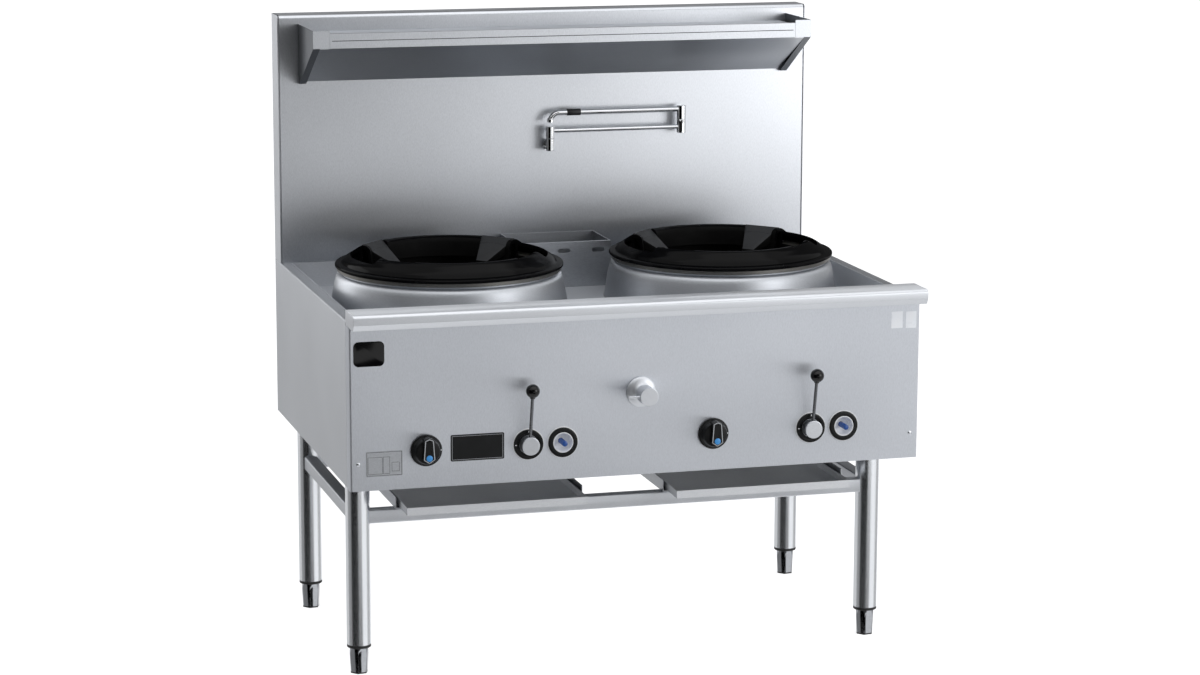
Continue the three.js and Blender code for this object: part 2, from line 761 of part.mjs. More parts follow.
// Lever: hub on a spindle, and a leaning rod that ends in the ball's socket.
function lever() {
  const hub = [
    [0, clearance],
    [hubRadius, clearance],
    [hubRadius, hubDepth - 1],
    [hubRadius - 1, hubDepth],
    [0, hubDepth],
  ];
  const spindle = rodY(7, -clearance - 1, 26, coarse);
  const foot = new THREE.Vector3(0, -hubDepth * 0.7, hubRadius - 4);
  const head = new THREE.Vector3(0, -ballOut, ballHeight);
  const reach = head.clone().sub(foot);
  head.addScaledVector(reach.clone().normalize(), -ballRadius * 0.5);
  const bar = pipe([foot.toArray(), head.toArray()], rodRadius, 0, 8);
  return join(turnedOut(hub, medium), spindle, bar);
}

// Ball of the lever, bored for the rod.
function ball() {
  const foot = new THREE.Vector3(0, -hubDepth * 0.7, hubRadius - 4);
  const centre = new THREE.Vector3(0, -ballOut, ballHeight);
  const axis = centre.clone().sub(foot).normalize();
  const end = centre.clone().addScaledVector(axis, -ballRadius * 0.5 + clearance);
  const bore = pipe([foot.toArray(), end.toArray()], rodRadius + clearance, 0, 8);
  const sphere = new THREE.SphereGeometry(ballRadius, 12, 9).translate(0, -ballOut, ballHeight);
  return cut(sphere, bore);
}

// Stepped bezel round the lever's hub.
function leverBezel() {
  const outline = [
    [hubRadius + 1, clearance],
    [bezelRadius, clearance],
    [bezelRadius, 4.5],
    [bezelRadius - 1.5, 6],
    [bezelRadius - 7, 6],
    [bezelRadius - 7.5, 3.5],
    [hubRadius + 1, 3.5],
  ];
  return turnedOut(outline, medium);
}

// Igniter: bezel ring round a dished cup, with the button's guide bore in the cup's middle.
function igniter() {
  const guide = buttonRadius + clearance;
  const outline = [
    [guide, -cupDepth],
    [cupRadius - 6, -cupDepth + 2],
    [cupRadius - 1, -3],
    [cupRadius, 5],
    [bezelRadius - 1.5, 5],
    [bezelRadius, 3.5],
    [bezelRadius, clearance],
    [cupRadius + 1.5, clearance],
    [cupRadius + 1.5, -cupDepth - 4],
    [guide + 5, -cupDepth - 6],
    [guide + 5, -cupDepth - guideLength],
    [guide, -cupDepth - guideLength],
  ];
  return turnedOut(outline, medium);
}

function button() {
  const rear = -cupDepth - guideLength + buttonTravel;
  const outline = [
    [0, rear],
    [buttonRadius, rear],
    [buttonRadius, buttonOut - 0.8],
    [buttonRadius - 0.8, buttonOut],
    [0, buttonOut],
  ];
  return turnedOut(outline, coarse);
}

for (const [name, offset] of [["left", 0], ["right", hobPitch]]) {
  const at = (x) => [x + offset, fasciaFront, controlZ];
  add(controls, "gas_knob_" + name, knob(), blackPlastic, ...at(knobX));
  add(controls, "valve_lever_" + name, lever(), polishedSteel, ...at(leverX));
  add(controls, "lever_ball_" + name, ball(), blackPlastic, ...at(leverX));
  add(controls, "lever_bezel_" + name, leverBezel(), blackPlastic, ...at(leverX));
  add(controls, "igniter_" + name, igniter(), blackPlastic, ...at(igniterX));
  add(controls, "igniter_button_" + name, button(), bluePlastic, ...at(igniterX));
}

// Water tap: a domed rose with the valve body behind the fascia, and a round knob with a side pin.
{
  const neck = 13;
  const bodyLength = 64;
  const outline = [
    [4 + clearance, -20],
    [4 + clearance, 24],
    [neck, 24],
    [neck, 12],
    [neck + 6, 8],
    [roseRadius - 4, 5],
    [roseRadius, 2.5],
    [roseRadius, clearance],
    [neck + 1, clearance],
    [neck + 1, -2 * sheet],
    [neck + 3, -2 * sheet],
    [neck + 3, -bodyLength + 6],
    [waterPipe + 2, -bodyLength + 6],
    [waterPipe + 2, -bodyLength],
    [0, -bodyLength],
    [0, -20],
  ];
  const inlet = rod(waterPipe + 2, -32, -4, coarse).translate(0, 39, 0);
  const valve = join(turnedOut(outline, medium), inlet);
  add(controls, "water_valve", valve, chrome, 0, fasciaFront, waterZ);

  const knobOutline = [
    [0, 24 + clearance],
    [waterKnobRadius - 2, 24 + clearance],
    [waterKnobRadius, 26 + clearance],
    [waterKnobRadius, waterKnobDepth - 1.5],
    [waterKnobRadius - 1.5, waterKnobDepth],
    [0, waterKnobDepth],
  ];
  const spindle = rodY(4, -25, 18, coarse);
  const pinTip = waterKnobRadius + waterPinLength;
  const pin = rod(2.5, waterKnobRadius - 3, pinTip, 8).rotateY(-Math.PI / 2);
  pin.translate(0, -waterKnobDepth + 8, 0);
  const tap = join(turnedOut(knobOutline, medium), spindle, pin);
  add(controls, "water_knob", tap, chrome, 0, fasciaFront, waterZ);
}

// ---- Gas lines and burners ----------------------------------------------------------------

const gas = new THREE.Group();
range.add(gas);

const cockLength = 56;
const valveLength = 58;
const cockInlet = manifoldZ + 24;

// Manifold: one pipe along the front with nipples up to the valves, and a run to the rear inlet.
{
  const main = pipe(
    [
      [-manifoldCap, manifoldY, manifoldZ],
      [manifoldX, manifoldY, manifoldZ],
      [manifoldX, back - clearance, manifoldZ],
    ],
    manifoldRadius,
    manifoldBend,
    12,
  );
  const nipples = [knobX, leverX, knobX + hobPitch, leverX + hobPitch].map((x) =>
    rod(7, manifoldZ + manifoldRadius - 3, cockInlet - clearance, 8).translate(x, manifoldY, 0),
  );
  add(gas, "gas_manifold", join(main, ...nipples), pipeSteel);
}

for (const [name, side] of Object.entries(sides)) {
  const offset = side < 0 ? 0 : hobPitch;
  const x = knobX + offset;
  const y = (depthBehind) => fasciaFront + depthBehind;

  // Cock: neck through the fascia, body over the manifold's nipple, and the pilot's tube and head.
  const neck = rodY(10, y(-clearance), y(sheet + 2), coarse).translate(x, 0, controlZ);
  const nut = new THREE.CylinderGeometry(15, 15, 6, 6).translate(x, y(sheet + clearance + 3), controlZ);
  const block = box(x - 14, x + 14, y(sheet + 4), y(cockLength), controlZ - 14, controlZ + 14);
  const inlet = rod(9, cockInlet, controlZ - 12, coarse).translate(x, manifoldY, 0);
  const bore = rodY(boreFor(knobStem), y(-10), y(34), coarse).translate(x, 0, controlZ);
  const pilotX = side * hobX - 62;
  const pilotY = hobY - 64;
  const pilotRoute = [
    [x, y(cockLength) - 2, controlZ],
    [x, pilotY - 60, controlZ],
    [pilotX, pilotY, controlZ + 50],
    [pilotX, pilotY, burnerTop + 2],
  ];
  const pilot = pipe(pilotRoute, pilotRadius, 18, 6);
  const head = rod(6, burnerTop - 6, burnerTop + 10, 8).translate(pilotX, pilotY, 0);
  add(gas, "gas_cock_" + name, cut(join(neck, nut, block, inlet, pilot, head), bore), brass);

  // Lever valve: a turned body with a neck through the fascia and its outlet to the rear.
  const lx = leverX + offset;
  const turnedBody = [
    [7 + clearance, -30],
    [7 + clearance, clearance / 2],
    [15, clearance / 2],
    [15, -sheet - clearance],
    [20, -sheet - clearance],
    [20, -valveLength + 8],
    [13, -valveLength + 4],
    [13, -valveLength],
    [0, -valveLength],
    [0, -30],
  ];
  const barrel = turnedOut(turnedBody, 14).translate(lx, fasciaFront, controlZ);
  const feed = rod(9, cockInlet, controlZ - 16, coarse).translate(lx, manifoldY, 0);
  add(gas, "lever_valve_" + name, join(barrel, feed), brass);

  // Jet burner: a cast disc with rings of nozzles, on a hub over the bearer, with its supply pipe.
  const bx = side * hobX;
  const disc = rod(burnerRadius, burnerTop - burnerPlate, burnerTop, medium).translate(bx, hobY, 0);
  const hub = rod(26, bearerTop + clearance, burnerTop - burnerPlate + 1, coarse).translate(bx, hobY, 0);
  const rings = [[0, 1], [burnerRadius * 0.375, 6], [burnerRadius * 0.75, 12]];
  const jets = rings.flatMap(([radius, count]) =>
    Array.from({ length: count }, (_, i) => {
      const a = (2 * Math.PI * i) / count;
      const jet = rod(jetRadius, burnerTop - 1, burnerTop + jetHeight, 5);
      return jet.translate(bx + radius * Math.cos(a), hobY + radius * Math.sin(a), 0);
    }),
  );
  const supply = pipe(
    [
      [lx, y(valveLength + clearance), controlZ],
      [lx, y(valveLength + 70), controlZ],
      [bx, hobY - supplyRun, controlZ],
      [bx, hobY, controlZ],
      [bx, hobY, bearerTop + 5],
    ],
    supplyRadius,
    30,
    10,
  );
  add(gas, "burner_" + name, join(disc, hub, ...jets, supply), castIron);
}

// Bearer: an inverted channel from side to side that carries both burners.
{
  const half = bearerWidth / 2;
  const line = [
    [hobY - half, bearerTop - bearerHeight],
    [hobY - half, bearerTop],
    [hobY + half, bearerTop],
    [hobY + half, bearerTop - bearerHeight],
  ];
  const reach = halfWidth - sheet - clearance;
  const channel = alongX(folded(line, -2 * sheet), -reach, reach);
  const holes = [-1, 1].map((s) =>
    rod(supplyRadius + 2, bearerTop - 30, bearerTop + 5, coarse).translate(s * hobX, hobY, 0),
  );
  add(gas, "burner_bearer", cut(channel, ...holes), brushedSteel);
}

// ---- Water lines and the folding spout ----------------------------------------------------

const water = new THREE.Group();
range.add(water);

{
  const valveBack = fasciaFront + 64 + clearance;
  const riser = [
    [0, valveBack, waterZ],
    [0, riserY, waterZ],
    [0, riserY, spoutWallZ],
    [0, riserY - 18, spoutWallZ],
  ];
  add(water, "water_riser", pipe(riser, waterPipe, waterBend, 8), pipeSteel);
  const valveInlet = fasciaFront + tapInletBack;
  const inlet = [
    [0, valveInlet, waterZ - tapInletDrop - clearance],
    [0, valveInlet, inletZ],
    [0, back - clearance, inletZ],
  ];
  add(water, "water_inlet_pipe", pipe(inlet, waterPipe, waterBend, 8), pipeSteel);
}

// Wall elbow: rose and nipple out of the splashback, and the upright spigot of the first pivot.
const collarBottom = (spoutWallZ + lowerTubeZ) / 2;
const kneeSplit = (kneeBottom + kneeTop) / 2;
{
  const upright = rod(wallPivotRadius, wallPivotBottom, collarBottom, 16).translate(0, spoutY, 0);
  const spigot = rod(spigotRadius, collarBottom - 1, wallPivotTop - 6, coarse).translate(0, spoutY, 0);
  const nipple = rodY(wallPivotRadius, spoutY, splashFront - clearance, 16).translate(0, 0, spoutWallZ);
  const rose = rodY(wallPivotRadius + 3, splashFront - 6, splashFront - clearance, 16);
  rose.translate(0, 0, spoutWallZ);
  const tail = rodY(waterPipe - clearance, splashFront - 2, riserY - 18 - clearance, 8);
  tail.translate(0, 0, spoutWallZ);
  add(water, "spout_wall_elbow", join(upright, spigot, nipple, rose, tail), chrome);
}

// Lower arm: collar over the spigot, tube, and the lower half of the knee with its own spigot.
{
  const collar = rod(wallPivotRadius, collarBottom + clearance, wallPivotTop, 16);
  const well = rod(boreFor(spigotRadius), collarBottom - 5, wallPivotTop - 6 + clearance, coarse);
  const tube = pipe([[4, 0, lowerTubeZ], [spoutReach, 0, lowerTubeZ]], lowerTubeRadius, 0, coarse);
  const knee = rod(kneeRadius, kneeBottom, kneeSplit, 16).translate(spoutReach, 0, 0);
  const pivot = rod(spigotRadius, kneeSplit - 1, kneeTop - 8, coarse).translate(spoutReach, 0, 0);
  const arm = cut(join(collar, tube, knee, pivot), well);
  add(water, "spout_lower_arm", arm, chrome, 0, spoutY, 0);
}

// Upper arm: the knee's upper half and the tube back over the lower arm, bent down to the outlet.
{
  const cap = rod(kneeRadius, kneeSplit + clearance, kneeTop, 16).translate(spoutReach, 0, 0);
  const well = rod(boreFor(spigotRadius), kneeSplit - 5, kneeTop - 8 + clearance, coarse);
  const run = [[spoutReach, 0, upperTubeZ], [0, 0, upperTubeZ], [0, 0, outletZ]];
  const tube = pipe(run, upperTubeRadius, spoutBend, coarse);
  const mouth = rod(upperTubeRadius - 1.2, outletZ - 5, outletZ + 6, coarse);
  const arm = cut(join(cap, tube), well.translate(spoutReach, 0, 0), mouth);
  add(water, "spout_upper_arm", arm, chrome, 0, spoutY, 0);
}

export default range;
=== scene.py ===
# Looks of a two-hole wok range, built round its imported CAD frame.
import math

import bmesh
import bpy
from mathutils import Matrix, Vector


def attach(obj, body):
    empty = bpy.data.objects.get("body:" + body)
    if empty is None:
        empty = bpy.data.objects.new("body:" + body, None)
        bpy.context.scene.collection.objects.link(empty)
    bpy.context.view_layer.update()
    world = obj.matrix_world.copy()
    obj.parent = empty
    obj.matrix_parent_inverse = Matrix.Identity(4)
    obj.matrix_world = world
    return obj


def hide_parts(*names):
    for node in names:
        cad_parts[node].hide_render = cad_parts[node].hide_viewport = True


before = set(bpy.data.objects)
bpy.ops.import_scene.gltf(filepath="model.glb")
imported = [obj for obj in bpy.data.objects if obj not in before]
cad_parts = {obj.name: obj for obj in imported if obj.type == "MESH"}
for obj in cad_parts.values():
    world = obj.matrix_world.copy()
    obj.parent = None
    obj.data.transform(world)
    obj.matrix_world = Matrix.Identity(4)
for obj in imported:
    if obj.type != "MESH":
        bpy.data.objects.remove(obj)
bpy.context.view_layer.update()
print("frame loaded:", len(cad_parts), "nodes")

rangeBody = "range_body"
sideOffsets = {"left": 0, "right": 600}  # controls repeat at the hobs' pitch, mm
signs = {"left": -1, "right": 1}


# Materials

def linearColour(text):
    parts = [int(text[i:i + 2], 16) / 255 for i in (1, 3, 5)]
    return tuple(p / 12.92 if p <= 0.04045 else ((p + 0.055) / 1.055) ** 2.4 for p in parts) + (1,)


def addNode(tree, kind, settings={}):
    # settings: a node's own settings, the values of its inputs, and the sockets linked to them
    node = tree.nodes.new(kind)
    for name, value in settings.items():
        if isinstance(value, bpy.types.NodeSocket):
            tree.links.new(value, node.inputs[name])
        elif isinstance(name, int) or name in node.inputs:
            node.inputs[name].default_value = value
        else:
            setattr(node, name, value)
    return node


def emptyTree(owner):
    owner.use_nodes = True
    owner.node_tree.nodes.clear()
    return owner.node_tree


def startMaterial(name, shaderSettings):
    material = bpy.data.materials.new(name)
    tree = emptyTree(material)
    shader = addNode(tree, "ShaderNodeBsdfPrincipled", shaderSettings)
    addNode(tree, "ShaderNodeOutputMaterial", {"Surface": shader.outputs[0]})
    coords = addNode(tree, "ShaderNodeTexCoord").outputs["Object"]
    return material, tree, shader, coords


def spread(tree, value, low, high, fromLow=0.3, fromHigh=0.7):
    settings = {"From Min": fromLow, "From Max": fromHigh, "To Min": low, "To Max": high, "Value": value}
    return addNode(tree, "ShaderNodeMapRange", settings).outputs[0]


def finishSurface(tree, shader, colour, roughness, height=None, strength=0, depth=0, normal="Normal"):
    # colour: a pattern, dark and light; roughness: a pattern, low and high; depth: of the bump, in metres
    pattern, dark, light = colour
    settings = {"data_type": "RGBA", 0: pattern, 6: linearColour(dark), 7: linearColour(light)}
    tree.links.new(addNode(tree, "ShaderNodeMix", settings).outputs[2], shader.inputs["Base Color"])
    tree.links.new(spread(tree, *roughness), shader.inputs["Roughness"])
    if height is not None:
        bump = addNode(tree, "ShaderNodeBump", {"Strength": strength, "Distance": depth, "Height": height})
        tree.links.new(bump.outputs[0], shader.inputs[normal])


# Grain as repeats per metre along X, Y and Z: 5 mm long scratches about 1.4 mm apart, which is
# coarser than the real 0.2 mm so that they still show.
grains = {
    "x": (190, 700, 700),
    "y": (700, 190, 700),
    "z": (700, 700, 190),
    "spun": (160, 160, 900),
    "drawn": (500, 500, 12),
}
steelLook = dict(cloudScale=3.2, streakShare=0.7, cloudShare=0.3, scratchDepth=0.0002)


def steel(name, dark, light, roughness, spreadOf, grain, bump, metallic=1, smear=0):
    # smear: how far a reflection on an upright face is drawn out sideways
    material, tree, shader, coords = startMaterial(name, {"Metallic": metallic, "Roughness": roughness})
    if smear:
        shader.inputs["Anisotropic"].default_value = smear
        around = addNode(tree, "ShaderNodeTangent", {"direction_type": "RADIAL", "axis": "Z"})
        tree.links.new(around.outputs[0], shader.inputs["Tangent"])
    mapping = addNode(tree, "ShaderNodeMapping", {"Scale": grains[grain], "Vector": coords}).outputs[0]
    fine = {"Scale": 1, "Detail": 3, "Roughness": 0.6, "Vector": mapping}
    streaks = addNode(tree, "ShaderNodeTexNoise", fine).outputs[0]
    broad = {"Scale": steelLook["cloudScale"], "Detail": 2, "Vector": coords}
    clouds = addNode(tree, "ShaderNodeTexNoise", broad).outputs[0]
    shares = {"operation": "ADD", 0: spread(tree, streaks, 0, steelLook["streakShare"]),
              1: spread(tree, clouds, 0, steelLook["cloudShare"])}
    blend = addNode(tree, "ShaderNodeMath", shares).outputs[0]
    finishSurface(tree, shader, (blend, dark, light), (streaks, roughness - spreadOf, roughness + spreadOf),
                  streaks, bump, steelLook["scratchDepth"])
    return material


# Belt-ground stainless sheet: a satin sheen with a fine grain along its length.
satinX = steel("satinStainlessX", "#a9acb1", "#c3c6cb", 0.46, 0.045, "x", 0.04)
# The fascia: ground up and down, so reflections of the controls are drawn out sideways.
fasciaSteel = steel("fasciaStainless", "#ced2d9", "#e0e4eb", 0.37, 0.03, "z", 0.02, 0.88, 0.92)
satinY = steel("satinStainlessY", "#a2a5aa", "#babdc2", 0.42, 0.045, "y", 0.04)
# The basin and the shelf's brackets: a coarser grind, the basin a little darker for its deeper scratches. The
# brackets' much darker colour is painted shade, standing in for the shade under the shelf.
coarseX = steel("coarseGroundStainlessX", "#989ba0", "#b0b3b8", 0.42, 0.05, "x", 0.06)
coarseYPaintedShade = steel("coarseGroundStainlessYPaintedShade", "#65686d", "#7d8085", 0.42, 0.05, "y", 0.06)
# The deck: the same sheet, scoured paler by daily cleaning.
deckSteel = steel("scouredStainless", "#b9bcc1", "#cbced3", 0.46, 0.05, "x", 0.04, 0.65)
# The splashback and shelf: buffed a little brighter after the welds were dressed.
splashSteel = steel("buffedSheetStainless", "#b8bbc0", "#cdd0d5", 0.36, 0.03, "z", 0.02, 1, 0.5)
# Drip trays: thin sheet with a dull mill finish, its colour lightened as painted light, making up for the shade under
# the deck.
paintedLightMillSteel = steel("millFinishStainlessPaintedLight", "#d6d9dd", "#e6e8eb", 0.5, 0.05, "x", 0.05, 0.5)
# Spun and ground cones: the scratches run round, close together up the height.
spunSteel = steel("spunStainless", "#a9acb1", "#bbbec3", 0.42, 0.04, "spun", 0.02)
# The nose rail, freshly ground, its reflections drawn out sideways; its colour is lighter than the panels' as a
# painted highlight, for the light its rolled front catches. The front and back rails share it.
paintedBrightSteel = steel("groundStainlessNosePaintedBright", "#d8dbe0", "#e2e5ea", 0.42, 0.03, "x", 0.02, 0.55, 0.8)
# The lever's turned hub, nickel plated: pale, without a clear reflection.
satinPlate = steel("satinNickelPlate", "#c2c5ca", "#cfd2d7", 0.36, 0.04, "spun", 0.03)
# Rod of the lever: shiny steel, its colour darkened as a painted reflection of dark surroundings.
paintedDarkRodSteel = steel("shinySteelPaintedDark", "#66686c", "#76787c", 0.22, 0.04, "spun", 0.02)
# Inside of a chimney, blued by the flame and coated with soot: almost black and matt, the black also painted shade
# for the deep bore that no light reaches.
sootAndShadeSteel = steel("sootAndPaintedShadeStainless", "#141414", "#1f1e1e", 0.62, 0.06, "spun", 0.08)
# Rim of a chimney, where the ring sits: browned by the heat, and darkened further as painted shade for the gap under
# the ring's flange.
heatTintAndShadeSteel = steel("heatTintAndPaintedShadeStainless", "#63625f", "#7c7a76", 0.4, 0.05, "spun", 0.03)
# The legs' tube, polished lengthways: a clear, soft-edged reflection.
polishedTube = steel("polishedStainlessTube", "#e0e3e8", "#e8ebef", 0.25, 0.005, "drawn", 0)
# Screws, turned and buffed: bright.
buffedSteel = steel("buffedStainless", "#c4c7cc", "#d4d7db", 0.14, 0.03, "spun", 0.02)
# Feet, zinc plated: bright, but greyer than the tube above.
footZinc = steel("dulledZincPlate", "#a3a6ab", "#bcbfc4", 0.14, 0.03, "spun", 0.02)
# Welded pipe, galvanised: a dull spangled grey.
pipeSteel = steel("galvanisedPipe", "#85888d", "#a3a6ab", 0.42, 0.06, "drawn", 0.08)
# The gas valves' machined brass: warm, with turning marks.
machinedBrass = steel("machinedBrass", "#a98a4b", "#c4a463", 0.3, 0.06, "spun", 0.06)


def chrome(name, metallic, hazeScale, dark, light, low, high):
    # haze: fingerprints and water marks
    material, tree, shader, coords = startMaterial(name, {"Metallic": metallic})
    haze = addNode(tree, "ShaderNodeTexNoise", {"Scale": hazeScale, "Detail": 3, "Vector": coords}).outputs[0]
    finishSurface(tree, shader, (haze, dark, light), (haze, low, high))
    return material


def enamel():
    # Vitreous enamel on cast iron: a thin clear gloss fired over black, with a slight orange peel.
    settings = {"Roughness": 0.5, "Specular IOR Level": 0, "Coat Weight": 0.14, "Coat Roughness": 0.13,
                "Coat IOR": 1.5}
    material, tree, shader, coords = startMaterial("blackVitreousEnamel", settings)
    peel = addNode(tree, "ShaderNodeTexNoise", {"Scale": 140, "Detail": 2, "Vector": coords}).outputs[0]
    waves = addNode(tree, "ShaderNodeTexNoise", {"Scale": 18, "Detail": 1, "Vector": coords}).outputs[0]
    finishSurface(tree, shader, (waves, "#040405", "#09090a"), (peel, 0.45, 0.55), peel, 0.05, 0.0006,
                  "Coat Normal")
    return material


def plastic(name, dark, light, roughness, bump, specular=0.5):
    # Moulded plastic: an even colour with the tool's fine spark-eroded texture.
    settings = {"Roughness": roughness, "IOR": 1.5, "Specular IOR Level": specular}
    material, tree, shader, coords = startMaterial(name, settings)
    pores = addNode(tree, "ShaderNodeTexNoise", {"Scale": 1400, "Detail": 2, "Vector": coords}).outputs[0]
    patches = addNode(tree, "ShaderNodeTexNoise", {"Scale": 45, "Detail": 2, "Vector": coords}).outputs[0]
    finishSurface(tree, shader, (patches, dark, light), (patches, roughness * 0.85, roughness * 1.15), pores,
                  bump, 0.0001)
    return material


def sandCast():
    # Sand-cast burner: coarse pitted skin, burnt brown-grey round the jets.
    material, tree, shader, coords = startMaterial("sandCastIron", {"Metallic": 0.7})
    sand = addNode(tree, "ShaderNodeTexNoise", {"Scale": 420, "Detail": 4, "Vector": coords}).outputs[0]
    scale = addNode(tree, "ShaderNodeTexNoise", {"Scale": 22, "Detail": 3, "Vector": coords}).outputs[0]
    finishSurface(tree, shader, (scale, "#3a3836", "#5c5a5a"), (sand, 0.5, 0.75), sand, 0.35, 0.0006)
    return material


# Chrome plate on brass: near mirror, with a faint haze.
chromePlate = chrome("chromePlate", 1, 60, "#dcdee1", "#e8eaec", 0.045, 0.085)
# The same plate gone dull with wiping: pale, its reflections soft.
dulledChrome = chrome("dulledChrome", 0.8, 90, "#c9ccd1", "#d5d8dd", 0.38, 0.46)
blackEnamel = enamel()
castIron = sandCast()
# Moulded plastics, from satin knobs to a polished ball and matt rubber.
blackPlastic = plastic("blackMouldedPlastic", "#0a0b0c", "#121314", 0.34, 0.08, 0.22)
ballPhenolic = plastic("blackPolishedPhenolic", "#050506", "#0a0a0b", 0.12, 0.01, 0.3)
blackRubber = plastic("blackRubber", "#0b0b0c", "#151516", 0.5, 0.1)
inlayBlue = plastic("skyBluePlastic", "#3388cf", "#4a9ce0", 0.3, 0.03)
buttonBlue = plastic("darkBluePlastic", "#163f86", "#235299", 0.28, 0.03)
# Printing inks: thin, even coats with a low sheen.
greyInk = plastic("silverGreyInk", "#a3a6aa", "#b5b8bc", 0.4, 0.02)
whiteInk = plastic("whiteInk", "#dfe2e6", "#eef0f2", 0.45, 0.02)
# Enamel ground matt on the pads, and dulled by the flame in the bore: without gloss.
padEnamel = plastic("mattGroundEnamel", "#2c2d2f", "#3a3b3d", 0.62, 0.25, 0.15)
burntEnamel = plastic("flameDulledEnamel", "#050505", "#0a0a0a", 0.55, 0.1, 0.05)
# More ink, an anodised plate, sprayed lacquer and smooth film; the dark ink also serves as painted shade in the
# shelf's slit.
darkInkAndShade = plastic("darkGreyInkAndShade", "#2e3033", "#3c3e42", 0.5, 0.02)
blackPlate = plastic("blackAnodisedPlate", "#0e0f10", "#17181a", 0.42, 0.03, 0.2)
# The silver lacquer is lightened as painted light, making up for the shade inside the igniter's cup; the trims share
# it.
silverLacquerPaintedLight = plastic("silverLacquerPaintedLight", "#e6e8eb", "#f2f3f5", 0.42, 0.02)
paleFilm = plastic("paleLabelFilm", "#f0f4fa", "#f8fafd", 0.3, 0.02)
print("materials made:", len(bpy.data.materials))


# Shapes, each a new bmesh in millimetres

def moved(bm, x=0, y=0, z=0):
    bmesh.ops.translate(bm, vec=(x, y, z), verts=bm.verts)
    return bm


def turnedBy(bm, degrees, axis):
    bmesh.ops.rotate(bm, cent=(0, 0, 0), matrix=Matrix.Rotation(math.radians(degrees), 3, axis), verts=bm.verts)
    return bm


def vertsOf(geom):
    return [g for g in geom if isinstance(g, bmesh.types.BMVert)]


def edgesOf(geom):
    return [g for g in geom if isinstance(g, bmesh.types.BMEdge)]


def drawnLine(bm, points, closed=False):
    verts = [bm.verts.new(point) for point in points]
    pairs = zip(verts[-1:] + verts, verts) if closed else zip(verts, verts[1:])
    return verts, [bm.edges.new(pair) for pair in pairs]


def edgesAlong(bm, axis, least):
    # edges that run further than that along X, Y or Z
    return [e for e in bm.edges if abs(e.verts[0].co[axis] - e.verts[1].co[axis]) > least]


def painted(bm, slot):
    for face in bm.faces:
        face.material_index = slot
    return bm


def merged(bm, dist=0.001):
    bmesh.ops.remove_doubles(bm, verts=bm.verts, dist=dist)
    bmesh.ops.recalc_face_normals(bm, faces=bm.faces)
    return bm


def gathered(*parts):
    whole = bmesh.new()
    for part in parts:
        mesh = bpy.data.meshes.new("part")
        part.to_mesh(mesh)
        part.free()
        whole.from_mesh(mesh)
        bpy.data.meshes.remove(mesh)
    return whole


def lathe(profile, steps=96, closed=False):
    bm = bmesh.new()
    verts, edges = drawnLine(bm, [(r, 0, h) for r, h in profile], closed)
    bmesh.ops.spin(bm, geom=verts + edges, cent=(0, 0, 0), axis=(0, 0, 1), angle=2 * math.pi,
                   steps=steps, use_merge=True, use_duplicate=False)
    return merged(bm)


def facingFront(bm):
    return turnedBy(bm, 90, "X")  # +Z end to the front


def turnedFront(profile, steps=96, closed=False):
    return facingFront(lathe(profile, steps, closed))


def solidRod(radius, low, high, steps=24):
    return lathe([(0, low), (radius, low), (radius, high), (0, high)], steps)


def block(low, high, bevel=0, segments=2):
    bm = bmesh.new()
    bmesh.ops.create_cube(bm, size=1)
    size = [b - a for a, b in zip(low, high)]
    bmesh.ops.scale(bm, vec=size, verts=bm.verts)
    moved(bm, *[(a + b) / 2 for a, b in zip(low, high)])
    if bevel:
        bevelled(bm, bm.edges[:], bevel, segments)
    return bm


def bevelled(bm, edges, offset, segments=3):
    bmesh.ops.bevel(bm, geom=edges, offset=offset, offset_type="OFFSET", segments=segments,
                    profile=0.5, affect="EDGES", clamp_overlap=True, material=-1)
    return bm


def sharpEdges(bm, degrees):
    limit = math.radians(degrees)
    return [e for e in bm.edges if len(e.link_faces) == 2 and e.calc_face_angle(0) > limit]


def rimEdges(bm, y):
    # sharp edges wholly in front of y
    return [e for e in sharpEdges(bm, 40) if max(v.co.y for v in e.verts) < y]


def placed(outline, axis, start, end):
    # outline along an axis: [y, z] along X, [x, z] along Y, [x, y] along Z
    place = "XYZ".index(axis)
    way = [0, 0, 0]
    way[place] = end - start
    return [(*pair[:place], start, *pair[place:]) for pair in outline], way


def prism(outline, axis, start, end, bevel=0, segments=2):
    bm = bmesh.new()
    points, way = placed(outline, axis, start, end)
    face = bm.faces.new([bm.verts.new(point) for point in points])
    made = bmesh.ops.extrude_face_region(bm, geom=[face])
    bmesh.ops.translate(bm, vec=way, verts=vertsOf(made["geom"]))
    bmesh.ops.recalc_face_normals(bm, faces=bm.faces)
    if bevel:
        bevelled(bm, sharpEdges(bm, 20), bevel, segments)
    return bm


def circle(u, v, radius, steps=48):
    angles = [2 * math.pi * i / steps for i in range(steps)]
    return [(u + radius * math.cos(a), v + radius * math.sin(a)) for a in angles]


def aimed(bm, ahead):
    turn = Vector((0, 0, 1)).rotation_difference(ahead).to_matrix()
    bmesh.ops.rotate(bm, cent=(0, 0, 0), matrix=turn, verts=bm.verts)
    return bm


